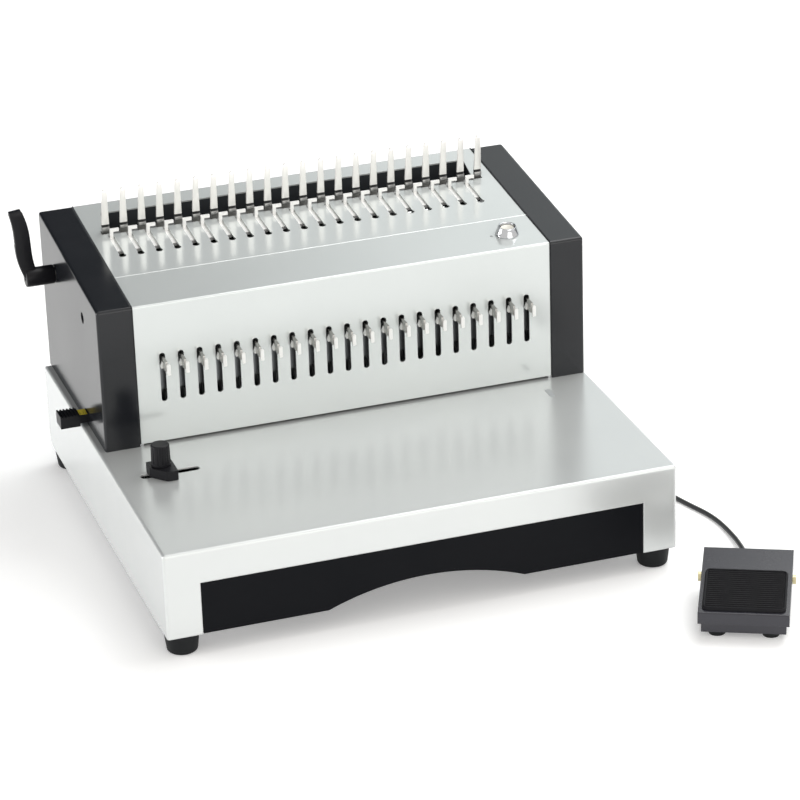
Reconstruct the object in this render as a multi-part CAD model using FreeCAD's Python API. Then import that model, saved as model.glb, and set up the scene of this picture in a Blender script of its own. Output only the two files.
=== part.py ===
import FreeCAD, Part
import math
import os

# Electric comb binding machine with a foot pedal, in millimetres.
# +X is the operator's right, +Y goes to the back, +Z is up.
# The origin is on the table, under the middle of the base housing.

V = FreeCAD.Vector
X_AXIS = V(1, 0, 0)
Y_AXIS = V(0, 1, 0)
Z_AXIS = V(0, 0, 1)

# ---- base housing ----
base_reach = 3.2
base_d = 354.0
base_h = 66.0
base_wall = 1.5
base_edge_r = 2.0
base_rear_r = 12.0
foot_h = 16.0
foot_top_r = 13.0
foot_bottom_r = 11.0
foot_inset = 13.6
pan_t = 1.2
pan_front_gap = 115.0

# ---- upper body: side frames, caps and covers ----
body_w = 379.6
body_shift = 2.2
cap_w = 26.5
cap_wall = 2.5
cap_proud = 0.5
cap_edge_r = 2.5
frame_t = 3.0
sheet_t = 1.2
bend_r = 1.6
front_y = 3.5
bend_y = 54.9
rear_overhang = 4.1
front_h = 111.7
bend_h = 115.9
rear_h = 126.8
cover_lift = 1.9

# ---- comb pitch and front slots ----
pitch = 14.2875
punch_count = 21
punch_shift = 2.6
front_slot_w = 4.5
front_slot_low = 33.5
front_slot_high = 72.4

# ---- deck: slots, trough, fingers (distances run back from the bend line) ----
hook_slot_w = 4.0
hook_slot_start = 31.0
hook_bulb_r = 2.75
trough_front = 71.0
trough_back = 109.1
trough_depth = 22.0
trough_wall = 1.0
trough_left_in = 4.3
trough_right_out = 4.5
finger_s = 75.5
finger_w = 5.9
finger_tip_w = 3.9
finger_t = 1.8
finger_h = 36.6
finger_bend_h = 5.0
finger_lean = 3.5
finger_slit_w = 7.0
finger_slit_l = 6.0
finger_bar_l = 6.0
finger_bar_h = 6.0
hook_offset = 2.3
hook_s = 66.0
hook_t = 1.8
hook_leg_w = 2.6
hook_head_l = 7.0
hook_head_h = 2.4
hook_rise = 7.0

# ---- hook carriage, lever and pinions ----
slide_gap = 0.4
carriage_t = 2.6
carriage_front = 44.0
gear_module = 1.5
pinion_teeth = 25
pinion_w = 5.0
rack_back = 123.0
pressure_angle = 20.0
backlash = 0.3
lever_shaft_r = 5.0
lever_y = 138.9
lever_z = 173.6
hub_r = 7.3
hub_l = 21.0
arm_t = 5.5
arm_w = 9.6
arm_tip_w = 11.4
run_gap = 0.05
pass_gap = 1.0

# ---- die, pins, ram and crank ----
die_front = 5.5
die_l = 20.0
die_t = 8.0
throat = 3.0
paper_depth = 20.5
pin_w = 8.0
pin_l = 3.0
pin_gap = 0.2
pin_margin = 4.5
guide_h = 18.0
ram_l = 17.0
ram_h = 34.0
ram_side_gap = 0.5
punch_stroke = 18.0
ram_rest_gap = 19.0
crank_y = 24.0
crank_z = 172.0
crank_shaft_r = 6.0
crank_journal_r = 5.0
crank_pin_r = 4.0
crank_web_r = 13.5
crank_web_t = 3.0
crank_pin_span = 7.0
yoke_t = 4.0
yoke_play = 2.35
yoke_wall = 3.5

# ---- pin selector tabs ----
tab_t = 1.8
tab_h = 8.0
tab_out = 12.0
tab_in = 13.5
tab_z = 148.0
tab_flange_w = 3.4
tab_flange_h = 8.5
tab_pull = 6.0
tab_gap = 0.4

# ---- motor and electrics ----
gearbox_x = 60.0
gearbox_w = 36.0
motor_r = 21.0
motor_l = 66.0
board_w = 100.0
board_d = 66.0
standoff_h = 8.0
inlet_x = -90.0
inlet_z = 120.0
inlet_w = 60.0
inlet_h = 30.0
rocker_r = 8.0
rocker_w = 11.4
rocker_tilt = 8.0

# ---- start button ----
button_x = 139.7
button_s = 24.4
bezel_r = 9.0
bezel_top_r = 7.5
bezel_h = 7.0
button_r = 5.4
button_gap = 0.3
button_travel = 3.0
bezel_barrel = 14.0

# ---- margin depth slider ----
slider_y = 58.4
slider_z = 89.0
slider_d = 14.4
slider_h = 9.8
slider_out = 22.0
slider_block_l = 15.0
slider_neck_d = 10.5
slider_neck_h = 6.6
slider_tail = 12.0
slider_gap = 0.4

# ---- edge guide ----
guide_x = -158.5
guide_y = -47.5
guide_block_h = 7.3
guide_float = 0.3
guide_stem_r = 3.0
guide_slot_w = 7.0
guide_slot_left = 12.5
guide_slot_right = 25.0
knob_r = 7.2
knob_h = 16.2
knob_flutes = 12

# ---- chip drawer ----
drawer_w = 334.0
drawer_opening_h = 40.5
drawer_gap = 0.5
drawer_front_t = 3.0
arch_half = 75.5
arch_rise = 14.5
tray_w = 316.0
tray_l = 234.0
tray_h = 22.0
tray_wall = 1.5
tray_lift = 16.0

# ---- foot pedal, in its own axes: +X along its pivot, -Y to its front ----
pedal_right = 16.7
pedal_ahead = 87.7
pedal_turn = -26.5
pedal_w = 64.5
pedal_l = 80.0
pedal_back_z = 32.5
pedal_front_z = 21.2
pedal_skirt = 8.8
pedal_sheet = 1.2
pedal_base_w = 60.0
pedal_base_front = 36.8
pedal_base_z = 4.6
pedal_pivot_y = 13.0
pedal_pivot_z = 22.6
pedal_pivot_r = 2.0
pedal_pad_w = 56.0
pedal_pad_l = 48.0
pedal_pad_t = 2.6
pedal_foot_r = 7.0
gland_r = 6.0
gland_l = 11.0
pedal_gland_r = 4.2
pedal_gland_l = 9.2
gland_x = 60.0
gland_z = 100.0

# ---- pedal cord ----
cord_r = 1.8
cord_rest = 1.9
coil_in = 43.0
coil_behind = 52.9
coil_turn_r = 19.8
coil_columns = 3
coil_rows = 2
# sideways from the gland and back from the rear cover, then sideways from the coil
cord_lead_way = [
    (0.0, 11.0, 100.0),
    (0.0, 34.9, 96.0),
    (2.0, 44.9, 72.0),
    (6.0, 44.9, 44.0),
    (14.0, 40.9, 20.0),
    (30.0, 32.9, 5.0),
]
cord_coil_way = [
    (-34.0, 29.5, 1.9),
    (0.0, 29.3, 1.9),
]
# out from the base's right side, and back from the rear cover or from the base's front
cord_corner_way = [
    (-43.0, 29.3, 5.5),
    (-15.0, 28.9, 3.4),
    (11.0, 16.9, 1.9),
    (26.0, -11.1, 1.9),
]
cord_floor_way = [
    (29.0, 297.0, 1.9),
    (27.0, 243.0, 1.9),
    (27.5, 189.0, 1.9),
    (31.0, 137.0, 1.9),
    (41.0, 93.0, 1.9),
    (53.5, 61.0, 1.9),
    (58.5, 30.0, 2.2),
    (56.5, 2.0, 4.6),
    (48.4, -24.1, 8.2),
    (37.23, -46.53, 10.0),
]
pedal_gland_z = 10.0

# ---- fasteners ----
screw_r = 2.0
screw_head_r = 3.7
screw_head_h = 2.4
screw_l = 8.0
screw_gap = 0.1
cap_screw_y = 50.2
cap_screw_h = 89.9
cap_screw_bore_r = 4.3
cap_boss_r = 7.0

# ---- places worked out from the sizes above ----
base_w = body_w + 2 * base_reach
base_top = foot_h + base_h
base_front = -base_d / 2
base_rear = base_d / 2
rear_y = base_rear + rear_overhang
cover_w = body_w - 2 * cap_w
cover_half = cover_w / 2
body_half = body_w / 2
frame_in = cover_half - frame_t
front_z = base_top + front_h
bend_z = base_top + bend_h
rear_z = base_top + rear_h
deck_slope = math.degrees(math.atan2(rear_z - bend_z, rear_y - bend_y))
strip_slope = math.degrees(math.atan2(bend_z - front_z, bend_y - front_y))
pinion_r = gear_module * pinion_teeth / 2
pin_y = front_y + paper_depth - pin_margin
die_y0 = front_y + die_front
die_y1 = die_y0 + die_l
guide_z0 = base_top + throat
guide_z1 = guide_z0 + guide_h
ram_z0 = guide_z1 + ram_rest_gap
ram_z1 = ram_z0 + ram_h
crank_throw = punch_stroke / 2
cap_face_left = body_shift - body_half
pedal_x = base_w / 2 + pedal_right
pedal_y = base_front - pedal_ahead
coil_x = base_w / 2 - coil_in
coil_y = rear_y + coil_behind
cord_lead_points = [(gland_x + x, rear_y + y, z) for x, y, z in cord_lead_way]
cord_lead_points += [(coil_x + x, rear_y + y, z) for x, y, z in cord_coil_way]
cord_run_points = [(base_w / 2 + x, rear_y + y, z) for x, y, z in cord_corner_way]
cord_run_points += [(base_w / 2 + x, base_front + y, z) for x, y, z in cord_floor_way]


def box(x0, x1, y0, y1, z0, z1):
    return Part.makeBox(x1 - x0, y1 - y0, z1 - z0, V(x0, y0, z0))


def cylinder(r, start, direction, length):
    return Part.makeCylinder(r, length, V(*start), direction)


def cone(r0, r1, start, direction, length):
    return Part.makeCone(r0, r1, length, V(*start), direction)


def prism(points, push):
    """A closed outline of 3-D points pushed along a vector."""
    loop = [V(*p) for p in points]
    loop.append(loop[0])
    return Part.Face(Part.makePolygon(loop)).extrude(V(*push))


def prism_x(points_yz, x0, x1):
    return prism([(x0, y, z) for y, z in points_yz], (x1 - x0, 0, 0))


def prism_y(points_xz, y0, y1):
    return prism([(x, y0, z) for x, z in points_xz], (0, y1 - y0, 0))


def prism_z(points_xy, z0, z1):
    return prism([(x, y, z0) for x, y in points_xy], (0, 0, z1 - z0))


def join(shapes):
    whole = shapes[0]
    if len(shapes) > 1:
        whole = shapes[0].fuse(list(shapes[1:]))
    return whole.removeSplitter()


def group(shapes):
    return Part.makeCompound(shapes)


def edges_along(shape, axis, keep):
    """The straight edges parallel to an axis whose middles pass a test."""
    found = []
    for edge in shape.Edges:
        if edge.Curve.TypeId != "Part::GeomLine":
            continue
        run = edge.Vertexes[-1].Point - edge.Vertexes[0].Point
        if run.Length < 1e-6 or abs(run.normalize().dot(axis)) < 0.9999:
            continue
        middle = edge.CenterOfMass
        if keep(middle):
            found.append(edge)
    return found


def round_edges(shape, axis, r, keep=lambda middle: True):
    found = edges_along(shape, axis, keep)
    if not found:
        return shape
    return shape.makeFillet(r, found)


def tilt(shape, slope, y, z):
    """Lay a piece that was drawn level on a plane that rises to the back."""
    turned = shape.copy()
    turned.rotate(V(0, y, z), X_AXIS, slope)
    return turned


def on_deck(shape):
    """Place a piece drawn with s along Y and height along Z on the sloping deck."""
    moved = shape.copy()
    moved.translate(V(0, bend_y, bend_z))
    return tilt(moved, deck_slope, bend_y, bend_z)


def on_strip(shape):
    """Place a piece drawn from the front top edge on the front strip."""
    moved = shape.copy()
    moved.translate(V(0, front_y, front_z))
    return tilt(moved, strip_slope, front_y, front_z)


def deck_place(y, z):
    """Distance behind the bend line and height over the deck of a point."""
    angle = math.radians(deck_slope)
    dy = y - bend_y
    dz = z - bend_z
    s = dy * math.cos(angle) + dz * math.sin(angle)
    h = dz * math.cos(angle) - dy * math.sin(angle)
    return s, h


def inset(points, distance):
    """An open outline moved to its right-hand side by a distance."""
    lines = []
    for (y0, z0), (y1, z1) in zip(points, points[1:]):
        length = math.hypot(y1 - y0, z1 - z0)
        ny = (z1 - z0) / length * distance
        nz = -(y1 - y0) / length * distance
        lines.append((y0 + ny, z0 + nz, y1 - y0, z1 - z0))
    moved = [lines[0][:2]]
    for (y0, z0, uy, uz), (y1, z1, wy, wz) in zip(lines, lines[1:]):
        t = ((y1 - y0) * wz - (z1 - z0) * wy) / (uy * wz - uz * wy)
        moved.append((y0 + uy * t, z0 + uz * t))
    y0, z0, uy, uz = lines[-1]
    moved.append((y0 + uy, z0 + uz))
    return moved


def body_outline(distance, bottom):
    """Side outline of the upper body, moved inwards, closed along its bottom."""
    skin = [
        (front_y, base_top),
        (front_y, front_z),
        (bend_y, bend_z),
        (rear_y, rear_z),
        (rear_y, base_top),
    ]
    inner = inset(skin, distance)
    inner[0] = (inner[0][0], bottom)
    inner[-1] = (inner[-1][0], bottom)
    return inner


def punch_x(index):
    return punch_shift + (index - (punch_count - 1) / 2) * pitch


def finger_x(index):
    return punch_shift + (index - punch_count / 2) * pitch


def both_sides(inner, outer):
    """The left and right spans between two distances from the body's middle."""
    return [(body_shift - outer, body_shift - inner), (body_shift + inner, body_shift + outer)]


# ---- base ----

def base_block(wall, low):
    """The housing's side outline, with its round lower rear corner, pushed across."""
    half = base_w / 2 - wall
    front = base_front + wall
    rear = base_rear - wall
    top = base_top - wall
    r = base_rear_r - wall
    z = foot_h + base_rear_r
    y = base_rear - base_rear_r
    corner = Part.Arc(V(-half, y + r, z),
                      V(-half, y + r * math.sqrt(0.5), z - r * math.sqrt(0.5)),
                      V(-half, y, z - r)).toShape()
    points = [V(-half, y, z - r), V(-half, y, low), V(-half, front, low),
              V(-half, front, top), V(-half, rear, top), V(-half, y + r, z)]
    if low > z - r - 0.001:
        points = points[1:]
    sides = [Part.makeLine(a, b) for a, b in zip(points, points[1:])]
    return Part.Face(Part.Wire(sides + [corner])).extrude(V(2 * half, 0, 0))


def base_housing():
    shell = base_block(0, foot_h)
    front_and_top = [e for e in shell.Edges
                     if e.BoundBox.ZMin > base_top - 0.1
                     or (e.BoundBox.YMax < base_front + 0.1 and e.BoundBox.ZLength > 1)]
    shell = shell.makeFillet(base_edge_r, front_and_top)
    shell = shell.cut(base_block(base_wall, foot_h - 1))
    for x, y in foot_places():
        shell = shell.cut(cylinder(screw_r + screw_gap, (x, y, foot_h - 1), Z_AXIS, base_rear_r))
    opening = box(-drawer_w / 2, drawer_w / 2, base_front - 1, base_front + base_wall + 3,
                  foot_h - 1, foot_h + drawer_opening_h)
    shell = shell.cut(opening)
    die_slot = box(body_shift - frame_in, body_shift + frame_in, die_y0, die_y1,
                   base_top - base_wall - 1, base_top + 1)
    shell = shell.cut(die_slot)
    slot_x0 = guide_x - guide_slot_left
    slot_x1 = guide_x + guide_slot_right
    slot_z = base_top - base_wall - 1
    slot_deep = base_wall + 2
    slot = join([
        box(slot_x0, slot_x1, guide_y - guide_slot_w / 2, guide_y + guide_slot_w / 2,
            slot_z, slot_z + slot_deep),
        cylinder(guide_slot_w / 2, (slot_x0, guide_y, slot_z), Z_AXIS, slot_deep),
        cylinder(guide_slot_w / 2, (slot_x1, guide_y, slot_z), Z_AXIS, slot_deep),
    ])
    return shell.cut(slot)


def foot_places():
    x = base_w / 2 - foot_inset
    y = base_d / 2 - foot_inset
    return [(-x, -y), (x, -y), (-x, y), (x, y)]


def base_pan():
    x = base_w / 2 - base_wall
    plate = box(-x, x, base_front + pan_front_gap, base_rear - base_rear_r - 1,
                foot_h, foot_h + pan_t)
    pieces = [plate]
    for side in (-1, 1):
        strip = box(-x, -drawer_w / 2 - 1, base_front + base_wall,
                    base_front + pan_front_gap, foot_h, foot_h + pan_t)
        rail = box(-tray_w / 2 + 4, -tray_w / 2 + 9, base_front + pan_front_gap,
                   base_rear - base_rear_r - 1, foot_h, foot_h + tray_lift - slide_gap)
        for piece in (strip, rail):
            if side > 0:
                piece = piece.mirror(V(0, 0, 0), X_AXIS)
            pieces.append(piece)
    pan = join(pieces)
    for x, y in foot_places():
        pan = pan.cut(cylinder(screw_r + screw_gap, (x, y, foot_h - 1), Z_AXIS, pan_t + 2))
    return pan


def rubber_feet():
    feet = []
    for x, y in foot_places():
        foot = cone(foot_bottom_r, foot_top_r, (x, y, 0), Z_AXIS, foot_h)
        rims = [e for e in foot.Edges if e.Curve.TypeId == "Part::GeomCircle" and e.CenterOfMass.z < 1]
        foot = foot.makeFillet(2.5, rims)
        bore = cylinder(screw_head_r + 1, (x, y, -1), Z_AXIS, foot_h / 2 + 1)
        hole = cylinder(screw_r + screw_gap, (x, y, 0), Z_AXIS, foot_h + 1)
        feet.append(foot.cut(bore).cut(hole))
    return group(feet)


def side_frame(side):
    x0, x1 = both_sides(frame_in, cover_half)[side]
    plate = prism_x(body_outline(sheet_t, base_top), x0, x1)
    holes = [
        cylinder(lever_shaft_r + run_gap, (x0 - 1, lever_y, lever_z), X_AXIS, frame_t + 2),
        cylinder(crank_journal_r + run_gap, (x0 - 1, crank_y, crank_z), X_AXIS, frame_t + 2),
        cylinder(screw_r + screw_gap, (x0 - 1, cap_screw_y, base_top + cap_screw_h),
                 X_AXIS, frame_t + 2),
    ]
    for hole in holes:
        plate = plate.cut(hole)
    return plate


# ---- caps and covers ----

def end_cap(side):
    x0, x1 = both_sides(cover_half, body_half)[side]
    outer = prism_x(body_outline(-cap_proud, base_top), x0, x1)
    outer = round_edges(outer, X_AXIS, cap_edge_r, lambda m: m.z > base_top + 5)
    face_x = x0 if side == 0 else x1
    rim = [e for e in outer.Edges if abs(e.BoundBox.XMin - face_x) < 0.01
           and e.BoundBox.XLength < 0.01 and e.CenterOfMass.z > base_top + 1]
    outer = outer.makeFillet(cap_edge_r * 0.8, rim)
    hollow_x = (x0 + cap_wall, x1 + 1) if side == 0 else (x0 - 1, x1 - cap_wall)
    cap = outer.cut(prism_x(body_outline(cap_wall - cap_proud, base_top - 1), *hollow_x))
    boss = cylinder(cap_boss_r, (x0 + 1, cap_screw_y, base_top + cap_screw_h), X_AXIS, cap_w - 1)
    bore = cylinder(cap_screw_bore_r, (x0 - 1, cap_screw_y, base_top + cap_screw_h),
                    X_AXIS, cap_w + 1 - frame_t)
    hole = cylinder(screw_r + screw_gap, (x0 - 1, cap_screw_y, base_top + cap_screw_h),
                    X_AXIS, cap_w + 2)
    if side == 1:
        boss = cylinder(cap_boss_r, (x0, cap_screw_y, base_top + cap_screw_h), X_AXIS, cap_w - 1)
        bore.translate(V(frame_t + 1, 0, 0))
    cap = join([cap, boss]).cut(bore).cut(hole)
    if side == 0:
        shaft_way = cylinder(lever_shaft_r + pass_gap, (x0 - 1, lever_y, lever_z), X_AXIS, cap_w)
        slider_way = box(x0 - 1, x0 + cap_wall + 1,
                         slider_y - slider_neck_d / 2 - slider_gap,
                         slider_y + slider_neck_d / 2 + slider_gap,
                         slider_z - slider_neck_h / 2 - slider_gap,
                         slider_z + slider_neck_h / 2 + slider_gap)
        cap = cap.cut(shaft_way).cut(slider_way)
    return cap


def front_slot(index):
    x = punch_x(index)
    r = front_slot_w / 2
    z0 = base_top + front_slot_low + r
    z1 = base_top + front_slot_high - r
    y0 = front_y - 1
    deep = sheet_t + 2
    return join([
        box(x - r, x + r, y0, y0 + deep, z0, z1),
        cylinder(r, (x, y0, z0), Y_AXIS, deep),
        cylinder(r, (x, y0, z1), Y_AXIS, deep),
    ])


def deck_openings():
    """The trough's opening with its hook slots, and a slit for each end finger."""
    low = -sheet_t - 1
    high = 1
    left = finger_x(0) + trough_left_in
    right = finger_x(punch_count) - trough_right_out
    cuts = [prism_z([(left, trough_front), (right, trough_front),
                     (right + trough_right_out, trough_back), (left, trough_back)], low, high)]
    for index in range(punch_count):
        x = finger_x(index) + hook_offset
        half = hook_slot_w / 2
        cuts.append(box(x - half, x + half, hook_slot_start + hook_bulb_r,
                        trough_front + 0.5, low, high))
        cuts.append(cylinder(hook_bulb_r, (x, hook_slot_start + hook_bulb_r, low),
                             Z_AXIS, high - low))
    for index in (0, punch_count):
        x = finger_x(index)
        cuts.append(box(x - finger_slit_w / 2, x + finger_slit_w / 2 - 0.2,
                        finger_s - finger_slit_l / 2, finger_s + finger_slit_l / 2, low, high))
    return cuts


def front_top_cover():
    skin = [
        (front_y, base_top + cover_lift),
        (front_y, front_z),
        (bend_y, bend_z),
        (rear_y, rear_z),
    ]
    outline = skin + inset(skin, sheet_t)[::-1]
    x0 = body_shift - cover_half
    x1 = body_shift + cover_half
    cover = prism_x(outline, x0, x1)
    outer_bend = lambda m: abs(m.y - front_y) < 0.1 and abs(m.z - front_z) < 0.1
    cover = round_edges(cover, X_AXIS, bend_r, outer_bend)
    slots = [front_slot(i) for i in range(punch_count)]
    cover = cover.cut(slots)
    cover = cover.cut([on_deck(c) for c in deck_openings()])
    button_way = cylinder(bezel_top_r, (button_x, button_s, -sheet_t - 1), Z_AXIS, sheet_t + 2)
    return cover.cut(on_strip(button_way))


def rear_cover():
    top = rear_z - sheet_t * 1.3
    plate = box(body_shift - cover_half, body_shift + cover_half, rear_y - sheet_t, rear_y,
                base_top + 0.5, top)
    module_way = box(inlet_x - inlet_w / 2 + 2, inlet_x + inlet_w / 2 - 2,
                     rear_y - sheet_t - 1, rear_y + 1,
                     inlet_z - inlet_h / 2 + 2, inlet_z + inlet_h / 2 - 2)
    gland_way = cylinder(gland_r - 1.5, (gland_x, rear_y - sheet_t - 1, gland_z),
                         Y_AXIS, sheet_t + 2)
    plate = plate.cut(module_way).cut(gland_way)
    for x, z in rear_screw_places():
        plate = plate.cut(cylinder(screw_r + screw_gap, (x, rear_y - sheet_t - 1, z),
                                   Y_AXIS, sheet_t + 2))
    vent_count = 9
    for index in range(vent_count):
        x = 90 + index * 7
        plate = plate.cut(box(x, x + 3, rear_y - sheet_t - 1, rear_y + 1,
                              base_top + 60, base_top + 95))
    return plate


def rear_screw_places():
    x = cover_half - 12
    low = base_top + 14
    high = rear_z - 16
    return [(body_shift + dx, z) for z in (low, high) for dx in (-x, 0, x)]


# ---- comb opening: trough, fingers, hooks ----

def rack_x():
    """The spans in X of the two racks, just inside the side frames."""
    outer = frame_in - slide_gap
    return both_sides(outer - pinion_w, outer)


def trough_span():
    left = rack_x()[0][1] + pass_gap
    right = rack_x()[1][0] - pass_gap * 0.6
    return left, right


def comb_trough():
    x0, x1 = trough_span()
    front = finger_s + finger_bar_l / 2
    back = trough_back + 0.6
    top = -sheet_t
    low = -trough_depth
    outer = box(x0, x1, front, back + trough_wall, low - trough_wall, top)
    inner = box(x0 + trough_wall, x1 - trough_wall, front + trough_wall, back, low, top + 1)
    return on_deck(outer.cut(inner))


def finger(index):
    x = finger_x(index)
    low = -sheet_t - 1
    base = box(x - finger_w / 2, x + finger_w / 2, finger_s - finger_t / 2,
               finger_s + finger_t / 2, low, finger_bend_h)
    rise = finger_h - finger_bend_h
    tip = finger_tip_w / 2
    blade = prism_y([(x - finger_w / 2, 0), (x + finger_w / 2, 0), (x + tip, rise - tip),
                     (x - tip, rise - tip)], -finger_t / 2, finger_t / 2)
    nose = cylinder(tip, (x, -finger_t / 2, rise - tip), Y_AXIS, finger_t)
    blade = join([blade, nose])
    blade.rotate(V(0, 0, 0), X_AXIS, finger_lean)
    blade.translate(V(0, finger_s, finger_bend_h - 0.1))
    return join([base, blade])


def finger_bar():
    low = -sheet_t - 0.6 - finger_bar_h
    x0, x1 = trough_span()
    bar = box(x0, x1, finger_s - finger_bar_l / 2, finger_s + finger_bar_l / 2,
              low, -sheet_t - 0.6)
    return on_deck(join([bar] + [finger(i) for i in range(punch_count + 1)]))


def involute_gear(teeth, width):
    """A spur gear about X with its middle at the origin and one tooth pointing up."""
    pitch_r = gear_module * teeth / 2
    alpha = math.radians(pressure_angle)
    base_r = pitch_r * math.cos(alpha)
    tip_r = pitch_r + gear_module * 0.95
    root_r = pitch_r - gear_module * 1.25
    half_tooth = math.pi / 2 / teeth - backlash / 2 / pitch_r
    flank_turn = math.tan(alpha) - alpha
    steps = 7
    points = []
    for tooth in range(teeth):
        middle = math.pi / 2 + 2 * math.pi * tooth / teeth
        right = [(root_r, half_tooth + flank_turn)]
        for step in range(steps):
            r = base_r + (tip_r - base_r) * step / (steps - 1)
            roll = math.sqrt(max(r * r / base_r / base_r - 1, 0))
            right.append((r, half_tooth + flank_turn - (roll - math.atan(roll))))
        points += [(r, middle - a) for r, a in right]
        points += [(r, middle + a) for r, a in reversed(right)]
    outline = [(r * math.cos(a), r * math.sin(a)) for r, a in points]
    return prism_x(outline, 0, width)


def rack_teeth(s0, s1, contact_s, pitch_h, x0, x1):
    """Rack teeth pointing down, with a gap between teeth over the pinion's top tooth."""
    step = math.pi * gear_module
    lean = math.tan(math.radians(pressure_angle))
    reach = gear_module * 0.95
    root = gear_module * 1.25
    half = step / 4 - backlash / 2
    teeth = []
    first = math.ceil((s0 + half + root - contact_s) / step - 0.5)
    last = math.floor((s1 - half - root - contact_s) / step - 0.5)
    for index in range(first, last + 1):
        middle = contact_s + (index + 0.5) * step
        top = half + root * lean
        low = half - reach * lean
        teeth.append(prism_x([(middle - top, pitch_h + root), (middle + top, pitch_h + root),
                              (middle + low, pitch_h - reach),
                              (middle - low, pitch_h - reach)], x0, x1))
    return teeth


def hook(index):
    """An upright leg with its head bent to the right, on a foot in the carriage."""
    x = finger_x(index) + hook_offset
    left = x - hook_leg_w / 2
    low = -sheet_t - slide_gap - carriage_t
    return prism_y([
        (left, low + 0.5),
        (left + hook_leg_w, low + 0.5),
        (left + hook_leg_w, hook_rise - hook_head_h),
        (left + hook_head_l, hook_rise - hook_head_h),
        (left + hook_head_l, hook_rise),
        (left, hook_rise),
    ], hook_s - hook_t / 2, hook_s + hook_t / 2)


def hook_carriage():
    top = -sheet_t - slide_gap
    low = top - carriage_t
    left = rack_x()[0][0]
    right = rack_x()[1][1]
    strip = box(left, right, carriage_front, hook_s + 3, low, top)
    contact_s, shaft_h = deck_place(lever_y, lever_z)
    pitch_h = shaft_h + pinion_r
    pieces = [strip]
    for x0, x1 in rack_x():
        rack_low = pitch_h + gear_module * 1.25
        pieces.append(box(x0, x1, carriage_front, rack_back, rack_low - 0.01, top))
        pieces += rack_teeth(carriage_front, rack_back, contact_s, pitch_h, x0, x1)
    pieces += [hook(i) for i in range(punch_count)]
    return on_deck(join(pieces))


def lever_shaft():
    x0 = cap_face_left - hub_l * 0.7
    x1 = body_shift + cover_half
    shaft = cylinder(lever_shaft_r, (x0, lever_y, lever_z), X_AXIS, x1 - x0)
    pieces = [shaft]
    for left, right in rack_x():
        gear = involute_gear(pinion_teeth, right - left)
        gear.translate(V(left, lever_y, lever_z))
        gear.rotate(V(0, lever_y, lever_z), X_AXIS, deck_slope)
        pieces.append(gear)
    return join(pieces)


def opening_lever():
    """A hub on the shaft's left end and an upright arm that curves outwards."""
    hub_x0 = cap_face_left - hub_l
    hub = cylinder(hub_r, (hub_x0, lever_y, lever_z), X_AXIS, hub_l - slide_gap)
    rims = [e for e in hub.Edges if e.Curve.TypeId == "Part::GeomCircle"
            and e.CenterOfMass.x < hub_x0 + 1]
    hub = hub.makeFillet(1.0, rims)
    root_x = hub_x0 + arm_w / 2
    centre = [(root_x, 0.0), (root_x - 0.6, 9.0), (root_x - 2.6, 19.0), (root_x - 5.2, 31.0),
              (root_x - 8.4, 44.0), (root_x - 10.4, 55.0)]
    left_side = []
    right_side = []
    for index, (x, rise) in enumerate(centre):
        x0, z0 = centre[max(index - 1, 0)]
        x1, z1 = centre[min(index + 1, len(centre) - 1)]
        length = math.hypot(x1 - x0, z1 - z0)
        half = (arm_w + (arm_tip_w - arm_w) * rise / centre[-1][1]) / 2
        nx = (z1 - z0) / length * half
        nz = -(x1 - x0) / length * half
        y = lever_y - arm_t / 2
        left_side.append(V(x - nx, y, lever_z + rise - nz))
        right_side.append(V(x + nx, y, lever_z + rise + nz))
    left_curve = Part.BSplineCurve()
    left_curve.interpolate(left_side)
    right_curve = Part.BSplineCurve()
    right_curve.interpolate(right_side)
    wire = Part.Wire([
        left_curve.toShape(),
        Part.makeLine(left_side[-1], right_side[-1]),
        right_curve.toShape(),
        Part.makeLine(right_side[0], left_side[0]),
    ])
    arm = Part.Face(wire).extrude(V(0, arm_t, 0))
    bore = cylinder(lever_shaft_r, (cap_face_left - hub_l * 0.7, lever_y, lever_z),
                    X_AXIS, hub_l)
    return join([hub, arm]).cut(bore)


# ---- punching: die, pin guide, ram, pins, tabs, crank ----

def pin_holes(z0, z1, gap):
    holes = []
    for index in range(punch_count):
        x = punch_x(index)
        holes.append(box(x - pin_w / 2 - gap, x + pin_w / 2 + gap,
                         pin_y - pin_l / 2 - gap, pin_y + pin_l / 2 + gap, z0, z1))
    return holes


def die_plate():
    plate = box(body_shift - frame_in, body_shift + frame_in, die_y0, die_y1,
                base_top - die_t, base_top)
    return plate.cut(pin_holes(base_top - die_t - 1, base_top + 1, pin_gap))


def pin_guide():
    x0 = body_shift - frame_in
    x1 = body_shift + frame_in
    block = box(x0, x1, die_y0, die_y1, guide_z0, guide_z1)
    stop = box(x0, x1, front_y + paper_depth, die_y1, base_top, guide_z0 + 1)
    return join([block, stop]).cut(pin_holes(guide_z0 - 1, guide_z1 + 1, pin_gap))


def tab_slots():
    slots = []
    for index in range(punch_count):
        x = punch_x(index)
        half = tab_t / 2 + tab_gap
        slots.append(box(x - half, x + half, 0, front_y + tab_in + tab_gap + 1,
                         tab_z - tab_h / 2 - tab_gap, tab_z + tab_h / 2 + tab_gap))
    return slots


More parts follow.
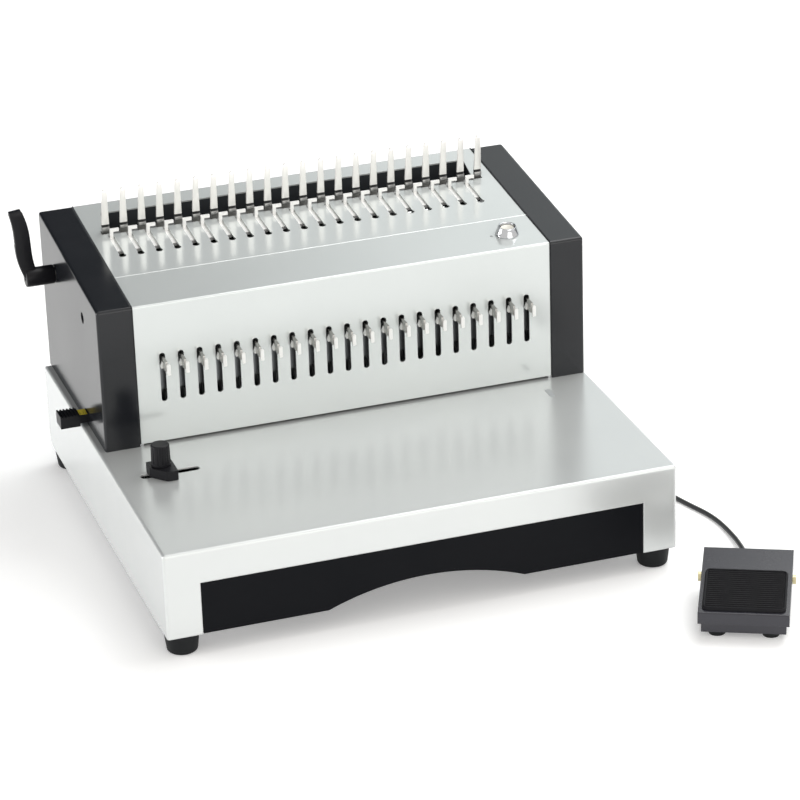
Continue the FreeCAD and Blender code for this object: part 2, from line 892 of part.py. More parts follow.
def punch_ram():
    y0 = pin_y - ram_l / 2
    half = frame_in - ram_side_gap
    bar = box(body_shift - half, body_shift + half, y0, y0 + ram_l, ram_z0, ram_z1)
    bar = bar.cut(tab_slots())
    pin_top = crank_z + crank_throw
    slot_half = crank_pin_r + run_gap + yoke_play
    slot_reach = crank_throw + crank_pin_r + 1
    pieces = [bar]
    for x0, x1 in both_sides(yoke_in(), yoke_in() + yoke_t):
        plate = box(x0, x1, crank_y - slot_reach - yoke_wall, crank_y + slot_reach + yoke_wall,
                    ram_z1 - 6, pin_top + slot_half + yoke_wall)
        way = box(x0 - 1, x1 + 1, crank_y - slot_reach, crank_y + slot_reach,
                  pin_top - slot_half, pin_top + slot_half)
        pieces.append(plate.cut(way))
    return join(pieces)


def yoke_in():
    """Distance of each yoke's inner face from the body's middle."""
    return frame_in - slide_gap - crank_web_t - crank_pin_span / 2 - yoke_t / 2


def punch_pins():
    pins = []
    low = guide_z0 + pass_gap
    for index in range(punch_count):
        x = punch_x(index)
        pins.append(box(x - pin_w / 2, x + pin_w / 2, pin_y - pin_l / 2, pin_y + pin_l / 2,
                        low, ram_z0))
    return group(pins)


def selector_tab(index):
    """A thin stem with a flange bent down and to the right at its front end."""
    x = punch_x(index)
    front = front_y - tab_out
    stem = box(x - tab_t / 2, x + tab_t / 2, front, front_y + tab_in,
               tab_z - tab_h / 2, tab_z + tab_h / 2)
    flange_top = tab_z + tab_h / 2 - 2
    flange = box(x - tab_t / 2, x - tab_t / 2 + tab_flange_w, front - tab_t, front,
                 flange_top - tab_flange_h, flange_top)
    return join([stem, flange])


def crankshaft():
    """Two throws: journal, web, pin and web at each side of a straight shaft."""
    web_out = frame_in - slide_gap
    pin_out = web_out - crank_web_t
    pin_in = pin_out - crank_pin_span
    shaft_in = pin_in - crank_web_t
    pin_z = crank_z + crank_throw
    shaft = cylinder(crank_shaft_r, (body_shift - shaft_in, crank_y, crank_z),
                     X_AXIS, 2 * shaft_in)
    pieces = [shaft]
    for x0, x1 in both_sides(pin_out, web_out) + both_sides(shaft_in, pin_in):
        pieces.append(cylinder(crank_web_r, (x0, crank_y, crank_z), X_AXIS, x1 - x0))
    for x0, x1 in both_sides(pin_in, pin_out):
        pieces.append(cylinder(crank_pin_r, (x0, crank_y, pin_z), X_AXIS, x1 - x0))
    for x0, x1 in both_sides(web_out, cover_half):
        pieces.append(cylinder(crank_journal_r, (x0, crank_y, crank_z), X_AXIS, x1 - x0))
    return join(pieces)


def gearmotor():
    x1 = gearbox_x + gearbox_w
    middle = gearbox_x + gearbox_w / 2
    bottom = ram_z1 + 2.5
    top = crank_z + 14
    case = box(gearbox_x, x1, crank_y - 15, crank_y + 28, bottom, top)
    case = round_edges(case, Y_AXIS, 3.0)
    motor = cylinder(motor_r, (middle, crank_y + 28, crank_z - 2), Y_AXIS, motor_l)
    bell = cylinder(motor_r - 5, (middle, crank_y + 28 + motor_l, crank_z - 2), Y_AXIS, 3)
    leg_y = crank_y + 22
    leg = box(gearbox_x, x1, leg_y, leg_y + 4, base_top, bottom + 2)
    foot = box(gearbox_x, x1, leg_y, leg_y + 30, base_top, base_top + 3)
    bore = cylinder(crank_shaft_r + run_gap, (gearbox_x - 1, crank_y, crank_z),
                    X_AXIS, gearbox_w + 2)
    return join([case, motor, bell, leg, foot]).cut(bore)


# ---- electrics ----

def control_board():
    x0 = -130.0
    y0 = 98.0
    z = base_top + standoff_h
    board = box(x0, x0 + board_w, y0, y0 + board_d, z, z + 1.6)
    pieces = [board]
    for x in (x0 + 5, x0 + board_w - 5):
        for y in (y0 + 5, y0 + board_d - 5):
            pieces.append(cylinder(3, (x, y, base_top), Z_AXIS, standoff_h + 1))
    pieces.append(box(x0 + 8, x0 + 50, y0 + 20, y0 + 56, z + 1, z + 36))
    pieces.append(box(x0 + 60, x0 + 76, y0 + 12, y0 + 32, z + 1, z + 16))
    pieces.append(cylinder(8, (x0 + 70, y0 + 48, z + 1), Z_AXIS, 26))
    pieces.append(box(x0 + 84, x0 + 94, y0 + 20, y0 + 50, z + 1, z + 9))
    return join(pieces)


def rocker_place():
    return inlet_x + inlet_w / 4 + 2, rear_y - 3, inlet_z


def power_inlet():
    """Rear module: an earthed three-pin inlet beside the pocket of a rocker switch."""
    flange_t = 2.0
    flange = box(inlet_x - inlet_w / 2, inlet_x + inlet_w / 2, rear_y, rear_y + flange_t,
                 inlet_z - inlet_h / 2, inlet_z + inlet_h / 2)
    flange = round_edges(flange, Y_AXIS, 2.0)
    body = box(inlet_x - inlet_w / 2 + 2.3, inlet_x + inlet_w / 2 - 2.3, rear_y - 26, rear_y,
               inlet_z - inlet_h / 2 + 2.3, inlet_z + inlet_h / 2 - 2.3)
    module = join([flange, body])
    socket_x = inlet_x - inlet_w / 4 + 1
    recess = box(socket_x - 12, socket_x + 12, rear_y - 15, rear_y + flange_t + 1,
                 inlet_z - 8, inlet_z + 8)
    module = module.cut(recess)
    blades = []
    for dx, dz in ((-7, -2), (0, 2), (7, -2)):
        blades.append(box(socket_x + dx - 1, socket_x + dx + 1, rear_y - 16, rear_y - 1,
                          inlet_z + dz - 2, inlet_z + dz + 2))
    module = join([module] + blades)
    x, y, z = rocker_place()
    half = rocker_w / 2 + slide_gap
    pocket = cylinder(rocker_r + slide_gap, (x - half, y, z), X_AXIS, 2 * half)
    return module.cut(pocket)


def power_rocker():
    x, y, z = rocker_place()
    drum = cylinder(rocker_r, (x - rocker_w / 2, y, z), X_AXIS, rocker_w)
    out = y + rocker_r
    for side in (-1, 1):
        low, high = sorted((z - side * 3, z + side * 20))
        shave = box(x - rocker_w, x + rocker_w, out - 1.4, out + 10, low, high)
        shave.rotate(V(x, out - 1.4, z), X_AXIS, side * 14)
        drum = drum.cut(shave)
    drum.rotate(V(x, y, z), X_AXIS, -rocker_tilt)
    return drum


def cord_glands():
    """Strain reliefs: one on the rear cover and one on the back of the pedal."""
    seat = cylinder(gland_r, (gland_x, rear_y, gland_z), Y_AXIS, 3)
    neck = cone(gland_r - 1, gland_r - 2.6, (gland_x, rear_y + 3, gland_z), Y_AXIS, gland_l - 3)
    inner = cylinder(gland_r - 1.6, (gland_x, rear_y - 8, gland_z), Y_AXIS, 8)
    rear = join([seat, neck, inner])
    sleeve = cylinder(pedal_gland_r, (0, pedal_base_front, pedal_gland_z), Y_AXIS, 3)
    taper = cone(pedal_gland_r - 0.6, pedal_gland_r - 1.6,
                 (0, pedal_base_front + 3, pedal_gland_z), Y_AXIS, pedal_gland_l - 3)
    return group([rear, on_pedal(join([sleeve, taper]))])


# ---- controls ----

def button_bezel():
    bore_r = button_r + button_gap
    body_r = bezel_top_r - 0.3
    ring = cone(bezel_r, bezel_top_r, (button_x, button_s, 0), Z_AXIS, bezel_h)
    barrel = cylinder(body_r, (button_x, button_s, -bezel_barrel), Z_AXIS, bezel_barrel)
    nut = cylinder(bezel_r + 1, (button_x, button_s, -sheet_t - 4), Z_AXIS, 4)
    bezel = join([ring, barrel, nut])
    floor = bezel_floor()
    bore = cylinder(bore_r, (button_x, button_s, floor), Z_AXIS, bezel_h + 1 - floor)
    mouth = cone(bore_r, bezel_top_r - 0.6, (button_x, button_s, bezel_h - 1.4), Z_AXIS, 1.5)
    return on_strip(bezel.cut(bore).cut(mouth))


def bezel_floor():
    return -bezel_barrel + 3


def push_button():
    top = bezel_h - 1.4
    low = bezel_floor() + button_travel + 1
    cap = cylinder(button_r, (button_x, button_s, low), Z_AXIS, top - low)
    dish_r = 22.0
    dish_deep = 0.9
    dish = Part.makeSphere(dish_r, V(button_x, button_s, top - dish_deep + dish_r))
    return on_strip(cap.cut(dish))


def depth_slider():
    """A ribbed block outside the left cap, a neck through its wall, and a stop inside."""
    outer = cap_face_left - slider_out
    block_x1 = outer + slider_block_l
    block = box(outer, block_x1, slider_y - slider_d / 2, slider_y + slider_d / 2,
                slider_z - slider_h / 2, slider_z + slider_h / 2)
    ribs = 6
    step = slider_block_l / ribs
    for index in range(ribs):
        x = outer + (index + 0.5) * step
        block = block.cut(box(x, x + step / 2, slider_y - slider_d, slider_y + slider_d,
                              slider_z + slider_h / 2 - 0.9, slider_z + slider_h))
    inner = cap_face_left + cap_wall
    neck = box(block_x1 - 0.5, inner + slider_tail, slider_y - slider_neck_d / 2,
               slider_y + slider_neck_d / 2,
               slider_z - slider_neck_h / 2, slider_z + slider_neck_h / 2)
    stop = box(inner + slider_tail - 3, inner + slider_tail, slider_y - slider_neck_d / 2 - 2,
               slider_y + slider_neck_d / 2 + 2,
               slider_z - slider_neck_h / 2, slider_z + slider_neck_h / 2 + 2)
    return join([block, neck, stop])


def edge_guide():
    """A pointed block on the base, with a stem and a clamp plate under the slot."""
    z0 = base_top + guide_float
    z1 = z0 + guide_block_h
    right = guide_x + 9.0
    block = prism_z([(right, guide_y - 15), (right - 8.3, guide_y - 15),
                     (guide_x - 9.6, guide_y - 3), (guide_x - 9.6, guide_y + 8),
                     (right, guide_y + 8)], z0, z1)
    block = round_edges(block, Z_AXIS, 0.8)
    stem_low = base_top - base_wall - 6
    stem = cylinder(guide_stem_r, (guide_x, guide_y, stem_low), Z_AXIS, z1 + 11 - stem_low)
    plate = box(guide_x - 7, guide_x + 7, guide_y - 7, guide_y + 7,
                stem_low, base_top - base_wall - guide_float)
    return join([block, stem, plate])


def edge_guide_knob():
    z0 = base_top + guide_float + guide_block_h + guide_float
    knob = cone(knob_r, knob_r - 0.3, (guide_x, guide_y, z0), Z_AXIS, knob_h)
    rims = [e for e in knob.Edges if e.Curve.TypeId == "Part::GeomCircle"
            and e.CenterOfMass.z > z0 + 1]
    knob = knob.makeFillet(1.0, rims)
    for index in range(knob_flutes):
        angle = 2 * math.pi * index / knob_flutes
        x = guide_x + (knob_r + 0.5) * math.cos(angle)
        y = guide_y + (knob_r + 0.5) * math.sin(angle)
        knob = knob.cut(cylinder(1.1, (x, y, z0 + 2), Z_AXIS, knob_h))
    bore = cylinder(guide_stem_r + run_gap, (guide_x, guide_y, z0 - 1), Z_AXIS, 12.5)
    return knob.cut(bore)


def chip_drawer():
    x = drawer_w / 2 - drawer_gap
    z0 = foot_h + drawer_gap
    z1 = foot_h + drawer_opening_h - drawer_gap
    y1 = base_front + drawer_front_t
    face = box(-x, x, base_front, y1, z0, z1)
    arch_r = (arch_half * arch_half + arch_rise * arch_rise) / 2 / arch_rise
    arch = cylinder(arch_r, (0, base_front - 1, foot_h + arch_rise - arch_r),
                    Y_AXIS, drawer_front_t + 2)
    face = face.cut(arch)
    tray_z = foot_h + tray_lift
    outer = box(-tray_w / 2, tray_w / 2, y1 - 0.5, y1 + tray_l, tray_z, tray_z + tray_h)
    inner = box(-tray_w / 2 + tray_wall, tray_w / 2 - tray_wall, y1 + tray_wall,
                y1 + tray_l - tray_wall, tray_z + tray_wall, tray_z + tray_h + 1)
    return join([face, outer.cut(inner)])


# ---- foot pedal ----

def on_pedal(shape):
    moved = shape.copy()
    moved.rotate(V(0, 0, 0), Z_AXIS, pedal_turn)
    moved.translate(V(pedal_x, pedal_y, 0))
    return moved


def pedal_top_z(y):
    slope = (pedal_back_z - pedal_front_z) / pedal_l
    return pedal_front_z + (y + pedal_l / 2) * slope


def pedal_base():
    """A tray with ears that carry the pivot, open on top."""
    front = -pedal_base_front
    back = pedal_base_front
    half = pedal_base_w / 2
    low = pedal_front_z - pedal_skirt + 0.6
    ear = pedal_pivot_z + 3.4
    outline = [(front, pedal_base_z), (back, pedal_base_z), (back, low + 6),
               (pedal_pivot_y + 6, ear), (pedal_pivot_y - 6, ear), (front, low)]
    tray = prism_x(outline, -half, half)
    hollow = box(-half + pedal_sheet, half - pedal_sheet, front + pedal_sheet,
                 back - pedal_sheet, pedal_base_z + pedal_sheet, ear + 1)
    tray = tray.cut(hollow)
    pivot = cylinder(pedal_pivot_r + screw_gap, (-half - 1, pedal_pivot_y, pedal_pivot_z),
                     X_AXIS, pedal_base_w + 2)
    return on_pedal(tray.cut(pivot))


def pedal_treadle():
    """The sloping cover, with its front and side skirts, that rocks on the pivot."""
    front = -pedal_l / 2
    back = pedal_l / 2
    low = pedal_front_z - pedal_skirt
    outline = [(back, pedal_back_z), (front, pedal_front_z), (front, low), (back, low + 5)]
    cover = prism_x(outline, -pedal_w / 2, pedal_w / 2)
    cover = round_edges(cover, X_AXIS, 1.2, lambda m: m.y < 0 and m.z > low + 1)
    t = pedal_sheet
    inner = prism_x([(back + 1, pedal_top_z(back + 1) - t), (front + t, pedal_top_z(front + t) - t),
                     (front + t, low - 5), (back + 1, low - 5)], -pedal_w / 2 + t, pedal_w / 2 - t)
    cover = cover.cut(inner)
    pivot = cylinder(pedal_pivot_r + run_gap, (-pedal_w, pedal_pivot_y, pedal_pivot_z),
                     X_AXIS, 2 * pedal_w)
    return on_pedal(cover.cut(pivot))


def pedal_pad():
    front = -pedal_l / 2 + 3
    back = front + pedal_pad_l
    pad = prism_x([(front, pedal_top_z(front)), (back, pedal_top_z(back)),
                   (back, pedal_top_z(back) + pedal_pad_t),
                   (front, pedal_top_z(front) + pedal_pad_t)],
                  -pedal_pad_w / 2, pedal_pad_w / 2)
    return on_pedal(pad)


def pedal_feet():
    feet = []
    for x in (-19, 19):
        for y in (-28, 28):
            feet.append(on_pedal(cone(pedal_foot_r - 1, pedal_foot_r, (x, y, 0), Z_AXIS,
                                      pedal_base_z)))
    return group(feet)


def pedal_pivot_screws():
    """Shoulder screws through the skirts into the ears."""
    screws = []
    half = pedal_w / 2
    for side in (-1, 1):
        inner = pedal_base_w / 2 - pedal_sheet - 2
        shank = cylinder(pedal_pivot_r, (inner, pedal_pivot_y, pedal_pivot_z), X_AXIS,
                         half + 0.4 - inner)
        head = cylinder(3.4, (half + 0.3, pedal_pivot_y, pedal_pivot_z), X_AXIS, 2.4)
        screw = join([shank, head])
        if side < 0:
            screw = screw.mirror(V(0, 0, 0), X_AXIS)
        screws.append(on_pedal(screw))
    return group(screws)


def pedal_microswitch():
    z = pedal_base_z + pedal_sheet
    body = box(-14, 14, -18, -8, z, z + 6.5)
    plunger = cylinder(1.5, (6, -13, z + 6), Z_AXIS, 1.8)
    return on_pedal(join([body, plunger]))


# ---- pedal cord ----

def cord_tube(points):
    """Straight runs joined by tangent arcs, swept with the cord's round section."""
    knots = [V(*p) for p in points]
    edges = []
    start = knots[0]
    radii = []
    for before, corner, after in zip(knots, knots[1:], knots[2:]):
        u = (corner - before)
        w = (after - corner)
        shorter = min(u.Length, w.Length)
        u.normalize()
        w.normalize()
        turn = math.acos(max(-1.0, min(1.0, u.dot(w))))
        radius = 0.45 * shorter / math.tan(turn / 2)
        reach = 0.45 * shorter
        arc_start = corner - u * reach
        arc_end = corner + w * reach
        toward = (w - u).normalize()
        middle = corner + toward * (radius / math.cos(turn / 2) - radius)
        edges.append(Part.LineSegment(start, arc_start).toShape())
        edges.append(Part.Arc(arc_start, middle, arc_end).toShape())
        start = arc_end
        radii.append(round(radius, 1))
    edges.append(Part.LineSegment(start, knots[-1]).toShape())
    wire = Part.Wire(edges)
    heading = knots[1] - knots[0]
    section = Part.Wire([Part.makeCircle(cord_r, knots[0], heading)])
    tube = wire.makePipeShell([section], True, True)
    expected = wire.Length * math.pi * cord_r * cord_r
    print("cord radii", radii, "length", round(wire.Length, 1),
          "volume ratio", round(tube.Volume / expected, 4))
    return tube


def pedal_cord():
    return group([cord_tube(cord_lead_points), cord_tube(cord_run_points)])


def pedal_cord_coil():
    half = coil_columns * cord_r
    height = coil_rows * 2 * cord_r + 0.2
    outer = cylinder(coil_turn_r + half, (coil_x, coil_y, cord_rest - cord_r), Z_AXIS, height)
    inner = cylinder(coil_turn_r - half, (coil_x, coil_y, -1), Z_AXIS, height + 2)
    turns = coil_columns * coil_rows
    print("coil length", round(turns * 2 * math.pi * coil_turn_r, 1))
    return outer.cut(inner)


# ---- fasteners ----

def pan_screw(place, direction, length=screw_l):
    """A round-headed screw whose head stands on the place and points along direction."""
    head = cylinder(screw_head_r, place, direction, screw_head_h)
    back = direction * -1
    shank = cylinder(screw_r, place, back, length)
    recess_start = V(*place) + direction * (screw_head_h - 1.2)
    screw = join([head, shank])
    recess = Part.makeCylinder(1.2, 2, recess_start, direction)
    return screw.cut(recess)


def case_screws():
    screws = []
    for x, z in rear_screw_places():
        screws.append(pan_screw((x, rear_y, z), Y_AXIS, sheet_t + 6))
    z = base_top + cap_screw_h
    left = body_shift - cover_half - frame_t
    right = body_shift + cover_half + frame_t
    screws.append(pan_screw((left, cap_screw_y, z), X_AXIS * -1))
    screws.append(pan_screw((right, cap_screw_y, z), X_AXIS))
    for x, y in foot_places():
        screws.append(pan_screw((x, y, foot_h / 2), Z_AXIS * -1, foot_h / 2 + 4))
    return group(screws)


nodes = {
    "base_housing": base_housing(),
    "base_pan": base_pan(),
    "rubber_feet": rubber_feet(),
    "side_frame_left": side_frame(0),
    "side_frame_right": side_frame(1),
    "end_cap_left": end_cap(0),
    "end_cap_right": end_cap(1),
    "front_top_cover": front_top_cover(),
    "rear_cover": rear_cover(),
    "comb_trough": comb_trough(),
    "finger_bar": finger_bar(),
    "hook_carriage": hook_carriage(),
    "lever_shaft": lever_shaft(),
    "opening_lever": opening_lever(),
    "die_plate": die_plate(),
    "pin_guide": pin_guide(),
    "punch_ram": punch_ram(),
    "punch_pins": punch_pins(),
    "crankshaft": crankshaft(),
    "gearmotor": gearmotor(),
    "control_board": control_board(),
    "power_inlet": power_inlet(),
    "power_rocker": power_rocker(),
    "cord_glands": cord_glands(),
    "button_bezel": button_bezel(),
    "push_button": push_button(),
    "depth_slider": depth_slider(),
    "edge_guide": edge_guide(),
    "edge_guide_knob": edge_guide_knob(),
    "chip_drawer": chip_drawer(),
    "case_screws": case_screws(),
    "pedal_base": pedal_base(),
    "pedal_treadle": pedal_treadle(),
    "pedal_pad": pedal_pad(),
    "pedal_feet": pedal_feet(),
    "pedal_pivot_screws": pedal_pivot_screws(),
    "pedal_microswitch": pedal_microswitch(),
    "pedal_cord": pedal_cord(),
    "pedal_cord_coil": pedal_cord_coil(),
}
for number in range(punch_count):
    nodes[f"selector_tab_{number + 1:02d}"] = selector_tab(number)

os.makedirs("parts", exist_ok=True)
for name, shape in nodes.items():
    if not shape.isValid():
        print("not valid:", name)
    print(name, len(shape.Solids), round(shape.Volume / 1000, 2))
    shape.exportStep(f"parts/{name}.step")
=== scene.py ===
import bpy
import bmesh
import math
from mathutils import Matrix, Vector


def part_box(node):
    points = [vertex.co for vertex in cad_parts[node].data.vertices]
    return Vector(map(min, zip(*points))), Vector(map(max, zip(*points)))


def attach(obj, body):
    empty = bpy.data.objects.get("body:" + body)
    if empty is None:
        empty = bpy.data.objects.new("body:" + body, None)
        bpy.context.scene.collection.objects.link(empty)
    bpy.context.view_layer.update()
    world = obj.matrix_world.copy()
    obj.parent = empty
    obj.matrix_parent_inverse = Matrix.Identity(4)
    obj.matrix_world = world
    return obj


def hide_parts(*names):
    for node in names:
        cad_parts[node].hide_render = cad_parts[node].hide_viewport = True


# Electric comb binding machine with its foot pedal, in metres.
# +X is the operator's right, +Y goes to the back, +Z is up.

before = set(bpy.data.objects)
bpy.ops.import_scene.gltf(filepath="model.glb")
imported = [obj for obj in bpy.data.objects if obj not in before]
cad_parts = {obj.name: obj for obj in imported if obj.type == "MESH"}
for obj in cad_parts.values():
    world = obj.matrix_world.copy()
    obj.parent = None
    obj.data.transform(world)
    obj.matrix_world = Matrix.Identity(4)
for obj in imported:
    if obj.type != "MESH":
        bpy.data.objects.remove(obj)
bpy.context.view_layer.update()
scene = bpy.context.scene

MM = 0.001
BASE_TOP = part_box("base_housing")[1][2] / MM

# ---- sizes and places of the parts that get finer shapes, in millimetres ----

# Front strip and sloping deck of the cover, the fold between them and the caps' lips on it.
FRONT_Y = 3.5
FRONT_Z = 193.7
BEND_Y = 54.9
BEND_Z = 197.9
REAR_Y = 181.1
REAR_Z = 208.8
STRIP_SLOPE = math.atan2(BEND_Z - FRONT_Z, BEND_Y - FRONT_Y)
DECK_SLOPE = math.atan2(REAR_Z - BEND_Z, REAR_Y - BEND_Y)
COVER_MIDDLE = 2.2
COVER_HALF = 163.3
COVER_LOW_Z = 84.2
FOLD_HALF = 1.0
FOLD_RISE = 0.3
LIP_W = 0.9
LIP_H = 0.45
SUNK = 0.2

# Rows of fingers and punches: their pitch and the shift of their middle.
PITCH = 14.2875
PUNCH_COUNT = 21
PUNCH_SHIFT = 2.6

# Comb fingers. S counts back from the bend along the deck, H and heights go up from the deck,
# and a front lies ahead of the finger's middle when it is negative.
FINGER_S = 75.5
FINGER_H = 36.2
FINGER_LEAN = math.radians(-2.0)
FINGER_HALF = 2.95
FINGER_TIP = 1.95
FINGER_FRONT = -0.9
FINGER_BACK = 0.9
FINGER_BEND = 5.0
FOOT_PROFILE = [(-2.4, FINGER_FRONT), (0.4, FINGER_FRONT), (1.6, -1.7), (2.6, -2.1), (4.4, -2.1),
                (5.0, -1.8), (5.4, FINGER_FRONT), (5.7, -0.2), (6.4, -0.2), (6.8, -0.8)]
# Heights up to which the fingers' painted shade reaches: a darker foot band, then a near-black
# notch band.
FOOT_TOP = 4.9
NOTCH_TOP = 6.7
BLADE_LOW = 6.8
BLADE_STEPS = 4
TIP_STEPS = 6
BAR_HALF = 3.0
BAR_LOW = -7.8
BAR_TOP = -1.9

# Selector tabs: stem, bent end and lug.
TAB_Z = 148.0
TAB_OUT = 12.0
TAB_IN = 13.5
TAB_HALF_T = 0.9
STEM_HALF = 4.0
END_T = 1.8
END_LEFT = -0.2
END_RIGHT = 2.6
END_DROP = 6.5
END_RISE = 2.0
LUG_LEFT = 2.1
LUG_NEAR = 1.2
LUG_FAR = 4.6

# Start button and its pilot lamp.
BUTTON_X = 139.7
BUTTON_S = 24.4
PILOT_LEFT = 12.5

# Opening lever.
LEVER_Y = 138.9
LEVER_Z = 173.6
CAP_FACE_LEFT = -187.6
HUB_L = 22.6
HUB_R = 7.3
SHAFT_HOLE_R = 5.05
ARM_ROOT = 5.0
ARM_OUT = 9.4
ARM_RISE = 55.0
ARM_T = 5.5
ARM_HALF = 5.2
ARM_SWELL = 0.9
ARM_STEPS = 44
GRIP_START = 0.5
GRIP_END = 0.97
RIDGE_DEPTH = 0.45

# Margin slider.
SLIDER_Y = 58.4
SLIDER_Z = 89.0
SLIDER_NECK_H = 6.6
SCALE_FAR = 6.6
SCALE_NEAR = 0.6
SCALE_HALF = 4.8
MARK_FIRST = 5.9
MARK_PITCH = 1.25
MARK_W = 0.3
MARK_START = 4.6
MARK_LONG = 4.4
MARK_SHORT = 2.4

# Pedal and its pad.
PEDAL_X = 209.7
PEDAL_Y = -264.7
PEDAL_TURN = math.radians(-26.5)
PEDAL_L = 80.0
PEDAL_FRONT_Z = 21.2
PEDAL_BACK_Z = 32.5
PAD_W = 59.0
PAD_L = 48.0
PAD_T = 2.6
PAD_FRONT = 3.0
PAD_FLOOR = 1.5
RIM_IN = 0.6
RIM_W = 1.3
RIB_COUNT = 18
RIB_MARGIN = 3.6
RIB_END = 2.6
RIB_PROFILE = [(-0.75, PAD_FLOOR), (0.75, PAD_FLOOR), (0.65, 2.1), (0.3, 2.45), (-0.3, 2.45),
               (-0.65, 2.1)]

# Plug on the base's top, by its right edge.
PLUG_X = (151.5, 155.5)
PLUG_Y = (-30.0, -16.0)

# ---- pedal cord: radius, length, coil and route in metres ----

CORD_R = 1.8 * MM
COIL_CENTRE = (0.150, 0.234)
COIL_RINGS = (0.0234, 0.0198, 0.0162)
TURN_STEPS = 16
LOW_LAYER = 1.9 * MM
HIGH_LAYER = 5.5 * MM

# Tie round the coil and sleeves at the cord's ends, in millimetres.
TIE_ANGLE = math.radians(55)
TIE_HALF_W = 3.0
TIE_HALF = 6.0
TIE_TOP = 7.3
TIE_T = 0.45
TIE_CORNER = 2.4
SLEEVE_BORE = 1.7
SLEEVE_RIBS = 5
SLEEVE_GROOVE = 0.35

# From the machine's gland down to the coil, and from the coil to the pedal.
CORD_LEAD = [
    (0.060, 0.1921, 0.100),
    (0.060, 0.216, 0.096),
    (0.062, 0.226, 0.072),
    (0.066, 0.226, 0.044),
    (0.074, 0.222, 0.020),
    (0.090, 0.214, 0.005),
    (0.116, 0.2106, 0.0019),
]
CORD_RUN = [
    (0.178, 0.210, 0.0034),
    (0.204, 0.198, 0.0019),
    (0.219, 0.170, 0.0019),
    (0.222, 0.120, 0.0019),
    (0.220, 0.066, 0.0019),
    (0.2205, 0.012, 0.0019),
    (0.226, -0.042, 0.0019),
    (0.2375, -0.084, 0.0019),
    (0.2490, -0.115, 0.0019),
    (0.2500, -0.148, 0.0022),
    (0.2460, -0.176, 0.0046),
    (0.2395, -0.2005, 0.0082),
    (0.23023, -0.22353, 0.0100),
]


# ---- node helpers ----

def link(tree, source, target):
    tree.links.new(source, target)


def add(tree, kind, **settings):
    node = tree.nodes.new(kind)
    for name, value in settings.items():
        setattr(node, name, value)
    return node


def math_node(tree, operation, first, second=0.5, clamp=False):
    node = add(tree, "ShaderNodeMath", operation=operation, use_clamp=clamp)
    for socket, value in zip(node.inputs, (first, second)):
        if isinstance(value, (int, float)):
            socket.default_value = value
        else:
            link(tree, value, socket)
    return node.outputs[0]


def new_group(name, inputs, outputs):
    """A shader node group with named float inputs and the given outputs."""
    group = bpy.data.node_groups.new(name, "ShaderNodeTree")
    for label, value in inputs.items():
        socket = group.interface.new_socket(label, in_out="INPUT", socket_type="NodeSocketFloat")
        socket.default_value = value
    for label, kind in outputs.items():
        group.interface.new_socket(label, in_out="OUTPUT", socket_type="NodeSocket" + kind)
    enter = group.nodes.new("NodeGroupInput")
    leave = group.nodes.new("NodeGroupOutput")
    return group, enter, leave


def object_point(tree):
    return add(tree, "ShaderNodeTexCoord").outputs["Object"]


# ---- shared surface effects ----

def build_rounded_edges():
    """Softens hard corners for the light, and marks them with a mask."""
    group, enter, leave = new_group("rounded_edges", {"Radius": 0.0005},
                                    {"Normal": "Vector", "Edge": "Float"})
    bevel = add(group, "ShaderNodeBevel", samples=4)
    link(group, enter.outputs["Radius"], bevel.inputs["Radius"])
    link(group, bevel.outputs["Normal"], leave.inputs["Normal"])
    geometry = add(group, "ShaderNodeNewGeometry")
    dot = add(group, "ShaderNodeVectorMath", operation="DOT_PRODUCT")
    link(group, geometry.outputs["Normal"], dot.inputs[0])
    link(group, bevel.outputs["Normal"], dot.inputs[1])
    turned = math_node(group, "SUBTRACT", 1.0, dot.outputs["Value"], clamp=True)
    edge = math_node(group, "MULTIPLY", turned, 8.0, clamp=True)
    link(group, edge, leave.inputs["Edge"])
    return group


def build_grain():
    """Fine even grain, as of powder paint or moulded texture, with a slow drift of tone."""
    group, enter, leave = new_group("grain", {"Scale": 2500.0, "Drift Scale": 12.0},
                                    {"Height": "Float", "Drift": "Float"})
    point = object_point(group)
    fine = add(group, "ShaderNodeTexNoise")
    fine.inputs["Detail"].default_value = 3.0
    fine.inputs["Roughness"].default_value = 0.6
    link(group, point, fine.inputs["Vector"])
    link(group, enter.outputs["Scale"], fine.inputs["Scale"])
    slow = add(group, "ShaderNodeTexNoise")
    slow.inputs["Detail"].default_value = 4.0
    slow.inputs["Roughness"].default_value = 0.55
    link(group, point, slow.inputs["Vector"])
    link(group, enter.outputs["Drift Scale"], slow.inputs["Scale"])
    link(group, fine.outputs["Fac"], leave.inputs["Height"])
    link(group, slow.outputs["Fac"], leave.inputs["Drift"])
    return group


def build_metal_flake():
    """Tiny aluminium flakes in silver paint, each with a tone of its own."""
    group, enter, leave = new_group("metal_flake", {"Scale": 2600.0}, {"Flake": "Float"})
    cells = add(group, "ShaderNodeTexVoronoi")
    link(group, object_point(group), cells.inputs["Vector"])
    link(group, enter.outputs["Scale"], cells.inputs["Scale"])
    split = add(group, "ShaderNodeSeparateColor")
    link(group, cells.outputs["Color"], split.inputs["Color"])
    link(group, split.outputs["Red"], leave.inputs["Flake"])
    return group


